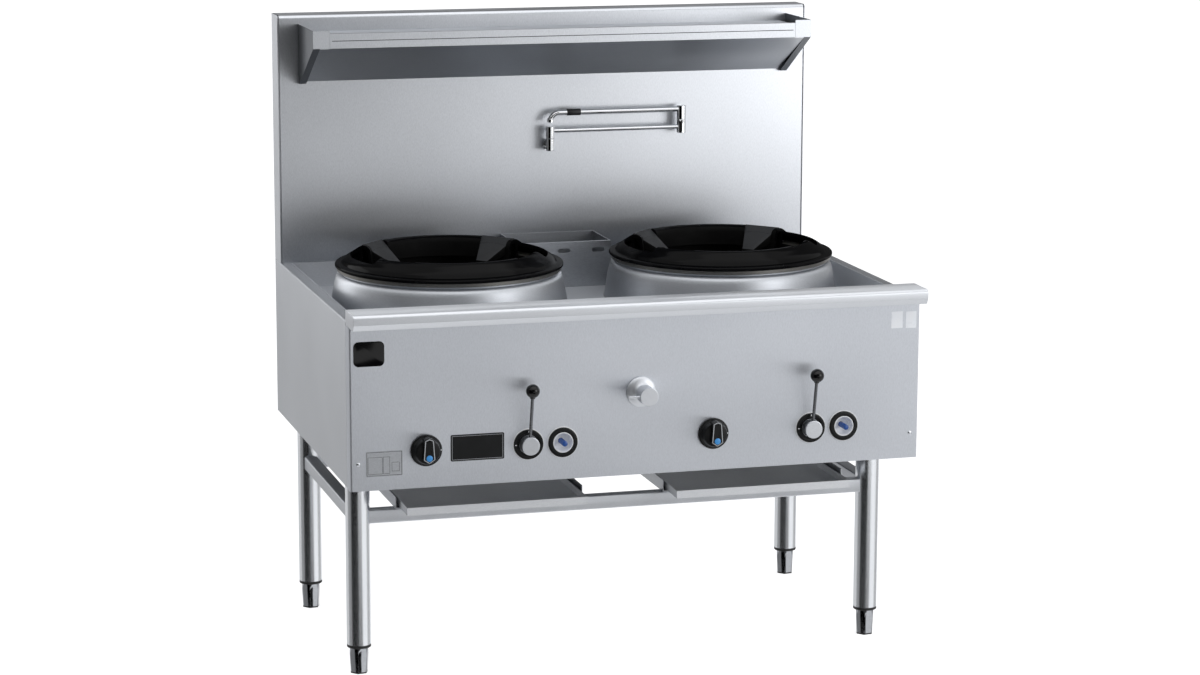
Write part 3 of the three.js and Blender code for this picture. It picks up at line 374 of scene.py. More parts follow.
def pipe(corners, radius, bend, sides=28):
    # A round tube down straight runs, spun through an arc at each corner.
    points = [Vector(c) for c in corners]
    bm = bmesh.new()
    ahead = (points[1] - points[0]).normalized()
    made = bmesh.ops.create_circle(bm, cap_ends=False, radius=radius, segments=sides)
    moved(aimed(bm, ahead), *points[0])
    ring = list({e for v in made["verts"] for e in v.link_edges})
    bm.faces.new(made["verts"])
    here = points[0]
    for i in range(1, len(points)):
        into = (points[i] - points[i - 1]).normalized()
        last = i == len(points) - 1
        reach = 0
        if not last:
            out = (points[i + 1] - points[i]).normalized()
            angle = into.angle(out)
            reach = bend * math.tan(angle / 2)
        stop = points[i] - into * reach
        grown = bmesh.ops.extrude_edge_only(bm, edges=ring)["geom"]
        verts = vertsOf(grown)
        ring = [e for e in edgesOf(grown) if all(v in verts for v in e.verts)]
        bmesh.ops.translate(bm, vec=stop - here, verts=verts)
        here = stop
        if not last and reach > 0:
            axis = into.cross(out).normalized()
            centre = here + axis.cross(into) * bend
            steps = max(3, round(math.degrees(angle) / 9))
            geom = bmesh.ops.spin(bm, geom=ring + verts, cent=centre, axis=axis, angle=angle, steps=steps,
                                  use_merge=False, use_duplicate=False)["geom_last"]
            verts, ring = vertsOf(geom), edgesOf(geom)
            here = points[i] + out * reach
    bmesh.ops.contextual_create(bm, geom=ring)
    return merged(bm)


def foldedSheet(line, radii, axis, start, end):
    # The outer face of a folded sheet: a line run along an axis, with its bends rounded.
    bm = bmesh.new()
    points, way = placed(line, axis, start, end)
    verts, edges = drawnLine(bm, points)
    grown = bmesh.ops.extrude_edge_only(bm, edges=edges)["geom"]
    bmesh.ops.translate(bm, vec=way, verts=vertsOf(grown))
    for vert, radius in zip(verts[1:-1], radii):
        bend = [e for e in vert.link_edges if len(e.link_faces) == 2]
        if radius and bend:
            bevelled(bm, bend, radius, 6)
    return bm


sheet = dict(thickness=1.5, inside=(0, 400, 1000))  # inside: a point that every panel's inner face looks at


def thickened(bm):
    bmesh.ops.recalc_face_normals(bm, faces=bm.faces)
    face = max(bm.faces, key=lambda f: f.calc_area())
    if face.normal.dot(Vector(sheet["inside"]) - face.calc_center_median()) > 0:
        bmesh.ops.reverse_faces(bm, faces=bm.faces)
    bmesh.ops.solidify(bm, geom=bm.faces[:], thickness=sheet["thickness"])
    bmesh.ops.recalc_face_normals(bm, faces=bm.faces)
    return bm


def addObject(name, data):
    item = bpy.data.objects.new(name, data)
    bpy.context.scene.collection.objects.link(item)
    return item


def addMesh(name, bm, materials):
    mesh = bpy.data.meshes.new(name)
    bm.to_mesh(mesh)
    bm.free()
    for material in materials:
        mesh.materials.append(material)
    return addObject(name, mesh)


def combined(first, second, operation):
    objects = [addMesh("cutting", bm, [blackEnamel, padEnamel]) for bm in (first, second)]
    modifier = objects[0].modifiers.new("cut", "BOOLEAN")
    modifier.operation = operation
    modifier.solver = "EXACT"
    modifier.object = objects[1]
    graph = bpy.context.evaluated_depsgraph_get()
    result = bmesh.new()
    result.from_object(objects[0], graph)
    for item in objects:
        mesh = item.data
        bpy.data.objects.remove(item)
        bpy.data.meshes.remove(mesh)
    return result


def finishPiece(name, bm, materials, body=rangeBody, replaced=None, smoothAngle=34):
    bmesh.ops.scale(bm, vec=(0.001, 0.001, 0.001), verts=bm.verts)
    limit = math.radians(smoothAngle)
    for face in bm.faces:
        face.smooth = True
    for edge in bm.edges:
        edge.smooth = len(edge.link_faces) == 2 and edge.calc_face_angle(0) < limit
    piece = addMesh(name, bm, materials if isinstance(materials, list) else [materials])
    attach(piece, body)
    if replaced:
        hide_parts(replaced)


# Camera

camera = dict(place=(-1.8434, -6.5341, 1.9309), yaw=15.9108, pitch=-10.8037, roll=0.1742, lens=97.39,
              sensor=36, clipEnd=60)


def makeCamera():
    yaw, pitch, roll = (math.radians(camera[k]) for k in ("yaw", "pitch", "roll"))
    ahead = Vector((math.sin(yaw) * math.cos(pitch), math.cos(yaw) * math.cos(pitch), math.sin(pitch)))
    level = Vector((math.cos(yaw), -math.sin(yaw), 0))
    above = level.cross(ahead)
    right = level * math.cos(roll) + above * math.sin(roll)
    up = above * math.cos(roll) - level * math.sin(roll)
    data = bpy.data.cameras.new("photoCamera")
    data.lens = camera["lens"]
    data.sensor_width = camera["sensor"]
    data.sensor_fit = "HORIZONTAL"
    data.clip_end = camera["clipEnd"]
    item = addObject("photoCamera", data)
    turn = Matrix((right, up, -ahead)).transposed().to_4x4()
    item.matrix_world = Matrix.Translation(camera["place"]) @ turn
    bpy.context.scene.camera = item


makeCamera()

# Body panels

panel = dict(half=600, bottom=421, sideTop=762, bend=4, front=-418, back=432, fascia=-372, fasciaTop=751.5,
             cornerBack=-338.3, hem=20, hemInside=578.3, hemBend=1.8, ledge=577, lip=8, lipBend=1.6,
             frontGap=0.6, rearGap=1.8, noseGap=2.5)
noseSize = dict(back=-339, top=783.1, bottom=751.8, turnUp=12, turnIn=7, round=7.5, edge=0.9, wallBottom=705.5,
                wallHalf=577, wallLap=2)
controls = dict(height=497.5, tap=592.7, x=dict(knob=-446.4, lever=-236.2, igniter=-164.4),
                holes=dict(knob=10.5, lever=15.5, igniter=22.8))
tap = dict(hole=14.5, inletBack=39, pinOut=52)


def fillAround(bm, edges, holes, y):
    # Fills a flat sheet inside its edges and leaves its round holes open.
    for x, z, radius in holes:
        edges = edges + drawnLine(bm, [(u, y, v) for u, v in circle(x, z, radius)], True)[1]
    bmesh.ops.triangle_fill(bm, use_beauty=True, use_dissolve=False, edges=edges)


def makeFrontPanel():
    half, front, back, bend = (panel[k] for k in ("half", "fascia", "cornerBack", "bend"))
    low, top, wall = panel["bottom"], panel["fasciaTop"], sheet["thickness"]
    bm = foldedSheet([(-half, back), (-half, front), (half, front), (half, back)], [bend, bend], "Z", low, top)
    face = max(bm.faces, key=lambda f: f.calc_area())
    edges = list(face.edges)
    bmesh.ops.delete(bm, geom=[face], context="FACES_ONLY")
    holes = [(0, controls["tap"], tap["hole"])]
    for offset in sideOffsets.values():
        holes += [(x + offset, controls["height"], controls["holes"][kind]) for kind, x in controls["x"].items()]
    fillAround(bm, edges, holes, front)
    thickened(bm)
    across = half - wall - bend
    hem = block((-across, front + wall, low), (across, front + panel["hem"], low + wall))
    topHem = block((-across, front + wall, top - wall), (across, noseSize["back"] - panel["noseGap"], top))
    finishPiece("frontPanel", gathered(bm, hem, topHem), fasciaSteel, replaced="front_panel")


def makeSidePanels():
    top = panel["sideTop"]
    line = [(panel["hemInside"], panel["bottom"]), (panel["half"], panel["bottom"]), (panel["half"], top),
            (panel["ledge"], top), (panel["ledge"], top - panel["lip"])]
    bends = [panel["hemBend"], panel["bend"], panel["lipBend"]]
    front, back = panel["cornerBack"] + panel["frontGap"], panel["back"] - panel["rearGap"]
    for name, side in signs.items():
        bm = foldedSheet([(side * x, z) for x, z in line], bends, "Y", front, back)
        finishPiece("sidePanel." + name, thickened(bm), satinY, replaced="side_panel_" + name)


def makeNoseRail():
    back, top, bottom, turnUp, turnIn, bend, edge, wallLow, wallHalf, lap = noseSize.values()
    front = panel["front"]
    outline = [(back, bottom), (back, top), (front, top), (front, bottom + turnUp), (front + turnIn, bottom)]
    bm = prism(outline, "X", -panel["half"], panel["half"])
    rolled = [e for e in edgesAlong(bm, 0, 10) if e.verts[0].co.y < front + 1 and e.verts[0].co.z > top - 1]
    bevelled(bm, rolled, bend, 10)
    bevelled(bm, sharpEdges(bm, 25), edge, 3)
    wall = block((-wallHalf, back - sheet["thickness"], wallLow), (wallHalf, back, bottom + lap))
    finishPiece("noseRail", gathered(bm, wall), paintedBrightSteel, replaced="nose_rail")


splash = dict(front=366, back=430.2, bottom=762.3, top=1301, round=8, inner=596, end=598.5, half=600, edge=0.3,
              lapInner=588, lapOuter=599, lapIn=3, lapDown=9.5)


def makeSplashback():
    front, back, bottom, top, bend, inner, end, half, edge, lapInner, lapOuter, lapIn, lapDown = splash.values()
    parts = [thickened(foldedSheet([(front, bottom), (front, top), (back, top)], [bend], "X", -inner, inner))]
    angles = [math.radians(a) for a in range(0, 91, 9)]
    outline = [(front, bottom), (back, bottom), (back, top)]
    outline += [(front + bend * (1 - math.sin(a)), top - bend * (1 - math.cos(a))) for a in angles]
    lapFront = front + lapIn
    for side in (-1, 1):
        near, far = sorted((side * end, side * half))
        parts.append(prism(outline, "X", near, far, edge, 1))
        near, far = sorted((side * lapInner, side * lapOuter))
        parts.append(block((near, lapFront, bottom), (far, lapFront + sheet["thickness"], top - lapDown)))
    finishPiece("splashback", gathered(*parts), splashSteel, replaced="splashback")


rear = dict(half=600, bottom=421, top=1301, y=432, holes=[(505, 448, 14.5), (0, 530, 8.5)])  # gas and water


def makeRearPanel():
    half, bottom, top, y, holes = rear.values()
    bm = bmesh.new()
    outline = [(-half, y, bottom), (half, y, bottom), (half, y, top), (-half, y, top)]
    fillAround(bm, drawnLine(bm, outline, True)[1], holes, y)
    finishPiece("rearPanel", thickened(bm), satinX, replaced="rear_panel")


# The line where the shelf's front edge is folded, drawn as a dark bar of painted shade in the slit there, and the
# brushed plates on its ends.
shelfJoint = dict(half=514, y=196.2, z=1260, line=1.6, depth=0.6)
shelfEnds = dict(inner=518.9, outer=554.8, bottom=1244.4, top=1281.9, front=0.5, back=0.2)


def makeShelfJoint():
    half, y, z, line, depth = shelfJoint.values()
    inner, outer, bottom, top, front, back = shelfEnds.values()
    caps = []
    for side in (-1, 1):
        near, far = sorted((side * inner, side * outer))
        caps.append(block((near, y - front, bottom), (far, y - back, top)))
    finishPiece("shelfEndFaces", gathered(*caps), splashSteel)
    # A dark bar set into the slit: painted shade, standing in for the shadow in the gap.
    bar = block((-half, y, z - line / 2), (half, y + depth, z + line / 2))
    finishPiece("shelfJoint", bar, darkInkAndShade)


makeFrontPanel()
makeShelfJoint()
makeSidePanels()
makeNoseRail()
makeSplashback()
makeRearPanel()
print("body panels made")

# Chimneys and wok rings

hob = dict(x=300, y=40, deck=707, seat=92.2, ringGap=0.3, steps=180)
chimneyProfile = [
    (252, 0.3), (250.5, 2), (247.5, 26), (244, 48), (240.6, 62), (238.9, 69), (236.6, 74), (233.4, 77),
    (230.5, 78.6), (229.2, 79.3), (229.2, 82.4), (230.6, 83), (234.6, 83.2), (236, 84.6), (236, 90.6), (234.6, 92),
    (199, 92.2), (197, 90), (197, -67), (199, -67), (199, 88), (227, 88), (227, 77), (233, 74), (236.4, 68),
    (249.5, 2), (249.5, 0.3),
]
chimneyRim = dict(bore=199.5, top=91, tinted=83.5)  # sooted and darkened as painted shade inside the bore; heat tinted and darkened as painted shade above the last
ringSize = dict(ventHalfAngle=28, padAngle=43, padHalfAngle=12.5, padInner=124, padTip=28, padDrop=9.5,
                padThickness=8, padEdge=1.2, crestRadius=188, rise=33.5, bore=172, boreWall=177, clear=60)
# Outer rim, from the vent's top edge round the flange to the vent's lower edge.
rimProfile = [
    (208, 23.5), (212.5, 20.9), (217, 18), (221, 15.1), (223.3, 12.6), (224.8, 10), (226.4, 8), (229, 7.1),
    (236.8, 7), (239.2, 6.3), (240.4, 4.6), (240.4, 1), (239.6, 0), (226, 0), (221, 4), (214, 10), (207, 15),
]
# Dome, from the same top edge over the crest and down the bore, back under it to the lower edge.
domeProfile = [
    (208, 23.5), (203, 26.9), (198, 30), (193.5, 32.3), (189.5, 33.4), (185.5, 33.3), (181, 31.9), (176.6, 28.9),
    (173.6, 25), (172, 20), (170, 0), (169.2, -8.6), (170, -9.5), (174.2, -9.5), (175, -8.6), (178, 22.5),
    (190.5, 25.5), (190.5, -8), (195.5, -8), (195.5, 21.5), (207, 15),
]


def makeChimneys():
    bore, top, tinted = chimneyRim.values()
    for name, side in signs.items():
        bm = lathe(chimneyProfile, 160, closed=True)
        for face in bm.faces:
            middle = face.calc_center_median()
            if math.hypot(middle.x, middle.y) < bore and middle.z < top:
                face.material_index = 1
            elif middle.z > tinted:
                face.material_index = 2
        moved(bm, side * hob["x"], hob["y"], hob["deck"])
        finishPiece("chimney." + name, bm, [spunSteel, sootAndShadeSteel, heatTintAndShadeSteel], replaced="chimney_" + name)


def sweptAround(profile, startAngle, endAngle, closeEnds):
    angle = endAngle - startAngle
    bm = bmesh.new()
    first, edges = drawnLine(bm, [(r, 0, h) for r, h in profile])
    turnedBy(bm, startAngle, "Z")
    last = bmesh.ops.spin(bm, geom=first + edges, cent=(0, 0, 0), axis=(0, 0, 1), angle=math.radians(angle),
                          steps=round(angle / 360 * hob["steps"]), use_merge=angle >= 359.9,
                          use_duplicate=False)["geom_last"]
    if closeEnds:
        bm.faces.new(first)
        lastEdges = edgesOf(last)
        used = {v for e in lastEdges for v in e.verts}
        ends = [v for v in used if sum(1 for e in v.link_edges if e in lastEdges) == 1]
        lastEdges.append(bm.edges.new(ends))
        bmesh.ops.contextual_create(bm, geom=lastEdges)
    return bm


def makePad(profile, inner, tip, top, wide):
    # A wedge that narrows from the crest to its tip, with its upper and lower faces ground matt.
    bm = prism(profile, "Y", -wide, wide)
    for vert in bm.verts:
        share = (vert.co.x - inner) / (top - inner)
        vert.co.y *= (tip + share * (wide - tip)) / wide
    for face in bm.faces:
        face.material_index = 1 if abs(face.normal.z) > 0.3 else 0
    return bm


def makeWokRing():
    vent, turn, halfAngle, inner, tip, drop, thick, edge, crest, rise, bore, boreWall, clear = ringSize.values()
    parts = [sweptAround(rimProfile, 0, 360, False)]
    wall = [domeProfile[0], domeProfile[-1]]
    for middle in (0, 180):
        parts.append(sweptAround(wall, middle - vent, middle + vent, False))
        parts.append(sweptAround(domeProfile, middle + vent, middle + 180 - vent, True))
    ring = merged(gathered(*parts), 0.02)
    top = (crest + 2, rise - 0.2)
    size = (inner, tip / 2, top[0], top[0] * math.tan(math.radians(halfAngle)))
    room = [(inner - 1, -drop), top, (top[0], clear), (inner - 1, clear)]
    wedge = [(inner, -drop), (inner, -drop - thick), (bore + 1, 0), top]
    cutters, pads = [], []
    for angle in (turn, 180 - turn, 180 + turn, -turn):
        cutters.append(turnedBy(makePad(room, *size), angle, "Z"))
        pad = makePad(wedge, *size)
        tipEdges = [e for e in sharpEdges(pad, 30) if min(v.co.x for v in e.verts) < inner + 1]
        pads.append(turnedBy(bevelled(pad, tipEdges, edge, 2), angle, "Z"))
    ring = combined(ring, gathered(*cutters), "DIFFERENCE")
    ring = combined(ring, gathered(*pads), "UNION")
    for face in ring.faces:
        middle = face.calc_center_median()
        outward = middle.x * face.normal.x + middle.y * face.normal.y
        inBore = math.hypot(middle.x, middle.y) < boreWall
        if face.material_index == 0 and inBore and outward < 0:
            face.material_index = 2
    return ring


def makeWokRings():
    ring = makeWokRing()
    for name, side in signs.items():
        bm = moved(ring.copy(), side * hob["x"], hob["y"], hob["deck"] + hob["seat"] + hob["ringGap"])
        finishPiece("wokRing." + name, bm, [blackEnamel, padEnamel, burntEnamel],
                    "wok_ring_%s_body" % name, "wok_ring_" + name, 28)
    ring.free()


makeChimneys()
makeWokRings()
print("chimneys and wok rings made")

# Legs, feet and rails

legs = dict(x=553, front=-207, back=316, radius=25, wall=1.5, bottom=60.6, gap=0.2, edge=0.5, top=702.2,
            padHalf=30, padTop=705.2, padEdge=0.6)
insertProfile = [(8.4, 55), (24.2, 55), (25, 55.8), (25, 60), (24.4, 60.7), (23.3, 60.8), (23.3, 81), (8.4, 81)]
legPlaces = {row + "_" + hand: (side * legs["x"], legs[row])
             for row in ("front", "back") for hand, side in signs.items()}


def makeLegs():
    radius, top, half, edge = (legs[k] for k in ("radius", "top", "padHalf", "edge"))
    inside, bottom = radius - legs["wall"], legs["bottom"] + legs["gap"]
    tube = [(inside, bottom), (radius - edge, bottom), (radius, bottom + edge), (radius, top), (inside, top)]
    for name, (x, y) in legPlaces.items():
        pad = block((-half, -half, top), (half, half, legs["padTop"]), legs["padEdge"], 1)
        leg = moved(gathered(lathe(tube, 72, True), pad), x, y)
        finishPiece("leg." + name, leg, polishedTube, replaced="leg_" + name)
        insert = moved(lathe(insertProfile, 72, True), x, y)
        finishPiece("legInsert." + name, insert, blackRubber)


# A six-sided foot with turned ends, on a thin black base. Its stem runs up into the leg.
foot = dict(across=36, over=1, taper=2.5, edge=1.1, top=54.7, stem=8, stemTop=110, turn=40, base=3,
            baseIn=(0.6, 0.1))
footProfile = [(0, 0), (16.8, 0), (17.8, 1), (20.6, 40.7), (19.6, 49.7), (18.4, 54.7), (0, 54.7)]


def sixSided(lowRadius, highRadius, bottom, top):
    bm = bmesh.new()
    bmesh.ops.create_cone(bm, cap_ends=True, segments=6, radius1=lowRadius, radius2=highRadius, depth=top - bottom)
    turnedBy(bm, foot["turn"], "Z")
    return moved(bm, 0, 0, bottom + (top - bottom) / 2)


def makeFeet():
    top, base, (lowIn, highIn) = foot["top"], foot["base"], foot["baseIn"]
    radius = foot["across"] / math.sqrt(3) + foot["over"]
    lowRadius = radius - foot["taper"]
    for name, (x, y) in legPlaces.items():
        body = "foot_%s_body" % name
        nut = sixSided(lowRadius, radius, base, top)
        bevelled(nut, edgesAlong(nut, 2, 10), foot["edge"], 3)
        nut = combined(nut, lathe(footProfile, 72), "INTERSECT")
        nut = moved(gathered(nut, solidRod(foot["stem"], top - 1, foot["stemTop"], 32)), x, y)
        finishPiece("foot." + name, nut, footZinc, body, "foot_" + name)
        pad = moved(sixSided(lowRadius - lowIn, lowRadius - highIn, 0, base), x, y)
        finishPiece("footBase." + name, pad, blackRubber, body)


rail = dict(size=28, top=343.2, corner=2.4, short=21)


def makeRails():
    size, high, corner, short = rail.values()
    half, low = size / 2, high - size
    x, front, back = legs["x"], legs["front"], legs["back"]
    spans = {
        "front": ((-x + short, front - half), (x - short, front + half)),
        "back": ((-x + short, back - half), (x - short, back + half)),
        "left": ((-x - half, front + short), (-x + half, back - short)),
        "right": ((x - half, front + short), (x + half, back - short)),
    }
    for name, (near, far) in spans.items():
        bm = block((*near, low), (*far, high))
        axis = 0 if name in ("front", "back") else 1
        bevelled(bm, edgesAlong(bm, axis, 50), corner, 4)
        # The front and back rails take the nose's colour, lightened as a painted highlight.
        finishPiece("rail." + name, bm, satinY if axis else paintedBrightSteel, replaced="rail_" + name)


makeLegs()
makeFeet()
makeRails()
print("stand made")

# Controls on the fascia

def onFascia(bm, x, z=controls["height"]):
    return moved(bm, x, panel["fascia"], z)


knobSize = dict(face=32, gripBack=4, gripEdge=0.9, faceEdge=0.5, inset=0.5, border=1.7, notchDepth=0.1)
knobSkirt = [
    (0, 1), (31, 1), (32, 2), (32, 4.6), (31.2, 5.6), (29, 6.1), (28.2, 6.9), (27.6, 8.4), (26.6, 9.4), (25, 17),
    (24, 18.6), (22.4, 19.2), (0, 19.2),
]
gripOutline = [(0, 30), (-9.5, 26), (-12.5, -14), (0, -22.5), (12.5, -14), (9.5, 26)]
notchOutline = [(-1.7, 25.6), (1.7, 25.6), (0, 21.6)]
knobMarks = {
    "knobInlay": dict(at=(0, -10.5), profile=[(0, 31), (6.4, 31), (6.4, 32.3), (6.1, 32.5), (0, 32.5)], steps=40,
                      material=inlayBlue, slot="blue_plastic"),
    "knobDot": dict(at=(29.4, 0), profile=[(0, 5.6), (1.35, 5.6), (1.35, 6.25), (1.15, 6.4), (0, 6.4)], steps=20,
                    material=whiteInk, slot="black_plastic"),
}


def makeKnob(name, x):
    node, faceY = "gas_knob_" + name, -knobSize["face"]
    grip = prism(gripOutline, "Y", -knobSize["gripBack"], faceY)
    bevelled(grip, edgesAlong(grip, 1, 5), knobSize["gripEdge"], 3)
    bevelled(grip, rimEdges(grip, faceY + 1), knobSize["faceEdge"], 2)
    front = min(grip.faces, key=lambda f: f.calc_center_median().y)
    for step in ("inset", "border"):
        made = bmesh.ops.inset_region(grip, faces=[front], thickness=knobSize[step], use_even_offset=True)
    for face in made["faces"]:
        face.material_index = 1
    front.material_index = 2
    notch = painted(prism(notchOutline, "Y", faceY + knobSize["notchDepth"], faceY), 1)
    knob = gathered(turnedFront(knobSkirt), grip, notch, facingFront(solidRod(4, -30, 2)))
    finishPiece("gasKnob." + name, onFascia(knob, x), [blackPlastic, greyInk, blackPlastic],
                node + "_body", node, 30)
    for piece, mark in knobMarks.items():
        u, v = mark["at"]
        bm = moved(turnedFront(mark["profile"], mark["steps"]), u, 0, v)
        finishPiece(piece + "." + name, onFascia(bm, x), mark["material"], node + "_body")


leverSize = dict(rodStart=(0, -16.8, 14.5), ball=(0, -38, 116.2), ballRadius=14, rodRadius=3.3, rodIn=6)
hubProfile = [(0, 0.3), (18.2, 0.3), (18.5, 0.8), (18.5, 22.4), (18.2, 23.6), (17.6, 24), (17.1, 24), (0, 24)]
neckProfile = [(3.5, -15.4), (5.2, -15.4), (5.6, -14.8), (6, -12.4), (3.5, -12)]
bezelProfile = [
    (19.5, 0.3), (30.5, 0.3), (30.5, 4.8), (30.1, 5.7), (29.2, 6), (24.4, 6), (23.3, 5.6), (22.9, 4.4), (22.2, 3.6),
    (19.5, 3.5),
]
trimProfile = [(30.55, 0.2), (32.6, 0.2), (32.6, 0.8), (32.3, 1.1), (30.55, 1.1)]
tickBoxes = [((-0.8, -6.15, 25), (0.8, -5.9, 28.4)), ((-28.4, -6.15, -0.8), (-25, -5.9, 0.8))]


def makeLever(name, x):
    node = "valve_lever_" + name
    start, centre = Vector(leverSize["rodStart"]), Vector(leverSize["ball"])
    reach = (centre - start).normalized()
    rod = painted(pipe([start, centre - reach * leverSize["rodIn"]], leverSize["rodRadius"], 0, 32), 2)
    hub = painted(turnedFront(hubProfile, 72), 1)
    lever = gathered(hub, rod, facingFront(solidRod(7, -26, 1)))
    finishPiece("valveLever." + name, onFascia(lever, x), [buffedSteel, satinPlate, paintedDarkRodSteel],
                node + "_body", node)
    ball = bmesh.new()
    bmesh.ops.create_uvsphere(ball, u_segments=48, v_segments=32, radius=leverSize["ballRadius"])
    ball = moved(aimed(gathered(ball, lathe(neckProfile, 40, True)), reach), *centre)
    finishPiece("leverBall." + name, onFascia(ball, x), ballPhenolic, node + "_body",
                "lever_ball_" + name)
    bezel = onFascia(turnedFront(bezelProfile, 96, True), x)
    finishPiece("leverBezel." + name, bezel, blackPlastic, replaced="lever_bezel_" + name)
    finishPiece("leverTrim." + name, onFascia(turnedFront(trimProfile, 96, True), x), silverLacquerPaintedLight)
    ticks = gathered(*[block(*box) for box in tickBoxes])
    finishPiece("leverTicks." + name, onFascia(ticks, x), whiteInk)


igniterRing = [
    (22.4, 0.3), (30.5, 0.3), (30.5, 3.8), (30.1, 4.7), (29.3, 5), (22.4, 5), (21.4, 4.8), (21.1, 4.2), (22.4, 3),
]
cupProfile = [
    (5.9, -14), (10, -13.4), (14, -11.6), (16.8, -8), (18.2, -3), (18.6, 3.6), (19, 5.2), (19.9, 5.8), (20.7, 5.4),
    (21, 4.4), (21, 2), (22.2, 2), (22.2, -18), (10.8, -20), (10.8, -54), (5.9, -54),
]
buttonProfile = [(0, -46), (5.5, -46), (5.5, 18.4), (5.1, 19.4), (4.2, 20), (0, 20)]


def makeIgniter(name, x):
    ring = onFascia(turnedFront(igniterRing, 96, True), x)
    finishPiece("igniterRing." + name, ring, blackPlastic, replaced="igniter_" + name)
    # The cup and trim take the silver lacquer, lightened as painted light for the shade inside the cup.
    for piece, profile in (("igniterTrim.", trimProfile), ("igniterCup.", cupProfile)):
        finishPiece(piece + name, onFascia(turnedFront(profile, 96, True), x), silverLacquerPaintedLight)
    node = "igniter_button_" + name
    button = onFascia(turnedFront(buttonProfile, 48), x)
    finishPiece("igniterButton." + name, button, buttonBlue, node + "_body", node)


roseProfile = [
    (4.3, 24), (12.2, 24), (13, 23.2), (13, 15.5), (14.6, 11.6), (18.6, 8.8), (24.6, 6.6), (29.4, 4.8), (31.2, 3.2),
    (31.6, 1.6), (31.4, 0.3), (14, 0.3), (14, -3), (16, -3), (16, -58), (9.5, -58), (9.5, -64), (4.3, -64),
]
tapKnob = [
    (0, 24.3), (17.6, 24.3), (18.5, 24.9), (18.8, 26), (18.8, 59.2), (18.6, 59.8), (18.1, 60), (17.6, 60), (0, 60),
]
pinProfile = [(0, 15), (2.5, 15), (2.5, 40.6), (2.2, 41.4), (1.4, 41.8), (0, 41.8)]


def makeTap():
    inlet = moved(solidRod(9.5, -32, -12, 32), 0, tap["inletBack"], 0)
    valve = gathered(turnedFront(roseProfile, 96, True), inlet, facingFront(solidRod(5, -64, -60)))
    pin = moved(turnedBy(lathe(pinProfile, 32), -90, "Y"), 0, -tap["pinOut"], 0)
    knob = gathered(turnedFront(tapKnob), facingFront(solidRod(4, -18, 25)), pin)
    z = controls["tap"]
    finishPiece("waterValve", onFascia(valve, 0, z), dulledChrome, replaced="water_valve")
    finishPiece("waterKnob", onFascia(knob, 0, z), dulledChrome, "water_knob_body", "water_knob")


for sideName, shift in sideOffsets.items():
    makeKnob(sideName, controls["x"]["knob"] + shift)
    makeLever(sideName, controls["x"]["lever"] + shift)
    makeIgniter(sideName, controls["x"]["igniter"] + shift)
makeTap()
print("controls made")

# Bare plates, plain labels and screws on the fascia

plates = {
    "instructionPlate": dict(at=(-341, 498), size=(110, 54), corner=3, thick=0.7, material=blackPlate),
    "ratingPlate": dict(at=(-531.5, 475), size=(74, 51), corner=2, thick=0.5, material=satinX),
    "badgePlate": dict(at=(-560.5, 698), size=(62, 50), corner=10, thick=1.6, edge=0.6, material=ballPhenolic),
    "labelLeft": dict(at=(550, 714), size=(25, 35), corner=1.5, thick=0.25, material=paleFilm),
    "labelRight": dict(at=(581, 713), size=(23, 35), corner=1.5, thick=0.25, material=paleFilm),
}
# Printed frames, bare inside: centre from the plate's middle, size, and line width.
frames = {
    "instructionPlate": dict(ink=greyInk, boxes=[(0, 0, 104, 48, 0.7)]),
    "ratingPlate": dict(ink=darkInkAndShade, boxes=[(0, 0, 70.5, 47.5, 0.9), (-18.5, -3.5, 29, 34, 0.7),
                                            (4.5, -3.5, 13, 34, 0.7), (23, -7, 15, 18, 0.7)]),
}
printed = dict(proud=0.08, sunk=0.05)
fasciaScrews = [(-584, 476), (583, 474)]
screwProfile = [(0, 0.1), (4, 0.1), (4, 0.8), (3.4, 1.6), (2.2, 2.1), (1.3, 2.2), (1.1, 1.3), (0, 1.3)]


def roundedOutline(width, depth, corner, steps=6):
    points = []
    for cx, cy, start in ((1, 1, 0), (-1, 1, 90), (-1, -1, 180), (1, -1, 270)):
        for i in range(steps + 1):
            a = math.radians(start + 90 * i / steps)
            points.append((cx * (width / 2 - corner) + corner * math.cos(a),
                           cy * (depth / 2 - corner) + corner * math.sin(a)))
    return points


def makePlates():
    for name, plate in plates.items():
        bm = prism(roundedOutline(*plate["size"], plate["corner"]), "Y", -0.05, -plate["thick"])
        if "edge" in plate:
            bevelled(bm, rimEdges(bm, -1), plate["edge"], 3)
        finishPiece(name, onFascia(bm, *plate["at"]), plate["material"])
    for name, lines in frames.items():
        face = -plates[name]["thick"]
        near, far = face - printed["proud"], face + printed["sunk"]
        bars = []
        for x, z, w, h, line in lines["boxes"]:
            for side in (-1, 1):
                post, level = x + side * w / 2, z + side * h / 2
                bars.append(block((x - w / 2, near, level - line / 2), (x + w / 2, far, level + line / 2)))
                bars.append(block((post - line / 2, near, z - h / 2), (post + line / 2, far, z + h / 2)))
        finishPiece(name + ".lines", onFascia(gathered(*bars), *plates[name]["at"]), lines["ink"])
    screws = gathered(*[moved(turnedFront(screwProfile, 32), x, 0, z) for x, z in fasciaScrews])
    finishPiece("fasciaScrews", onFascia(screws, 0, 0), buffedSteel)


makePlates()
print("plates made")

# Folding spout

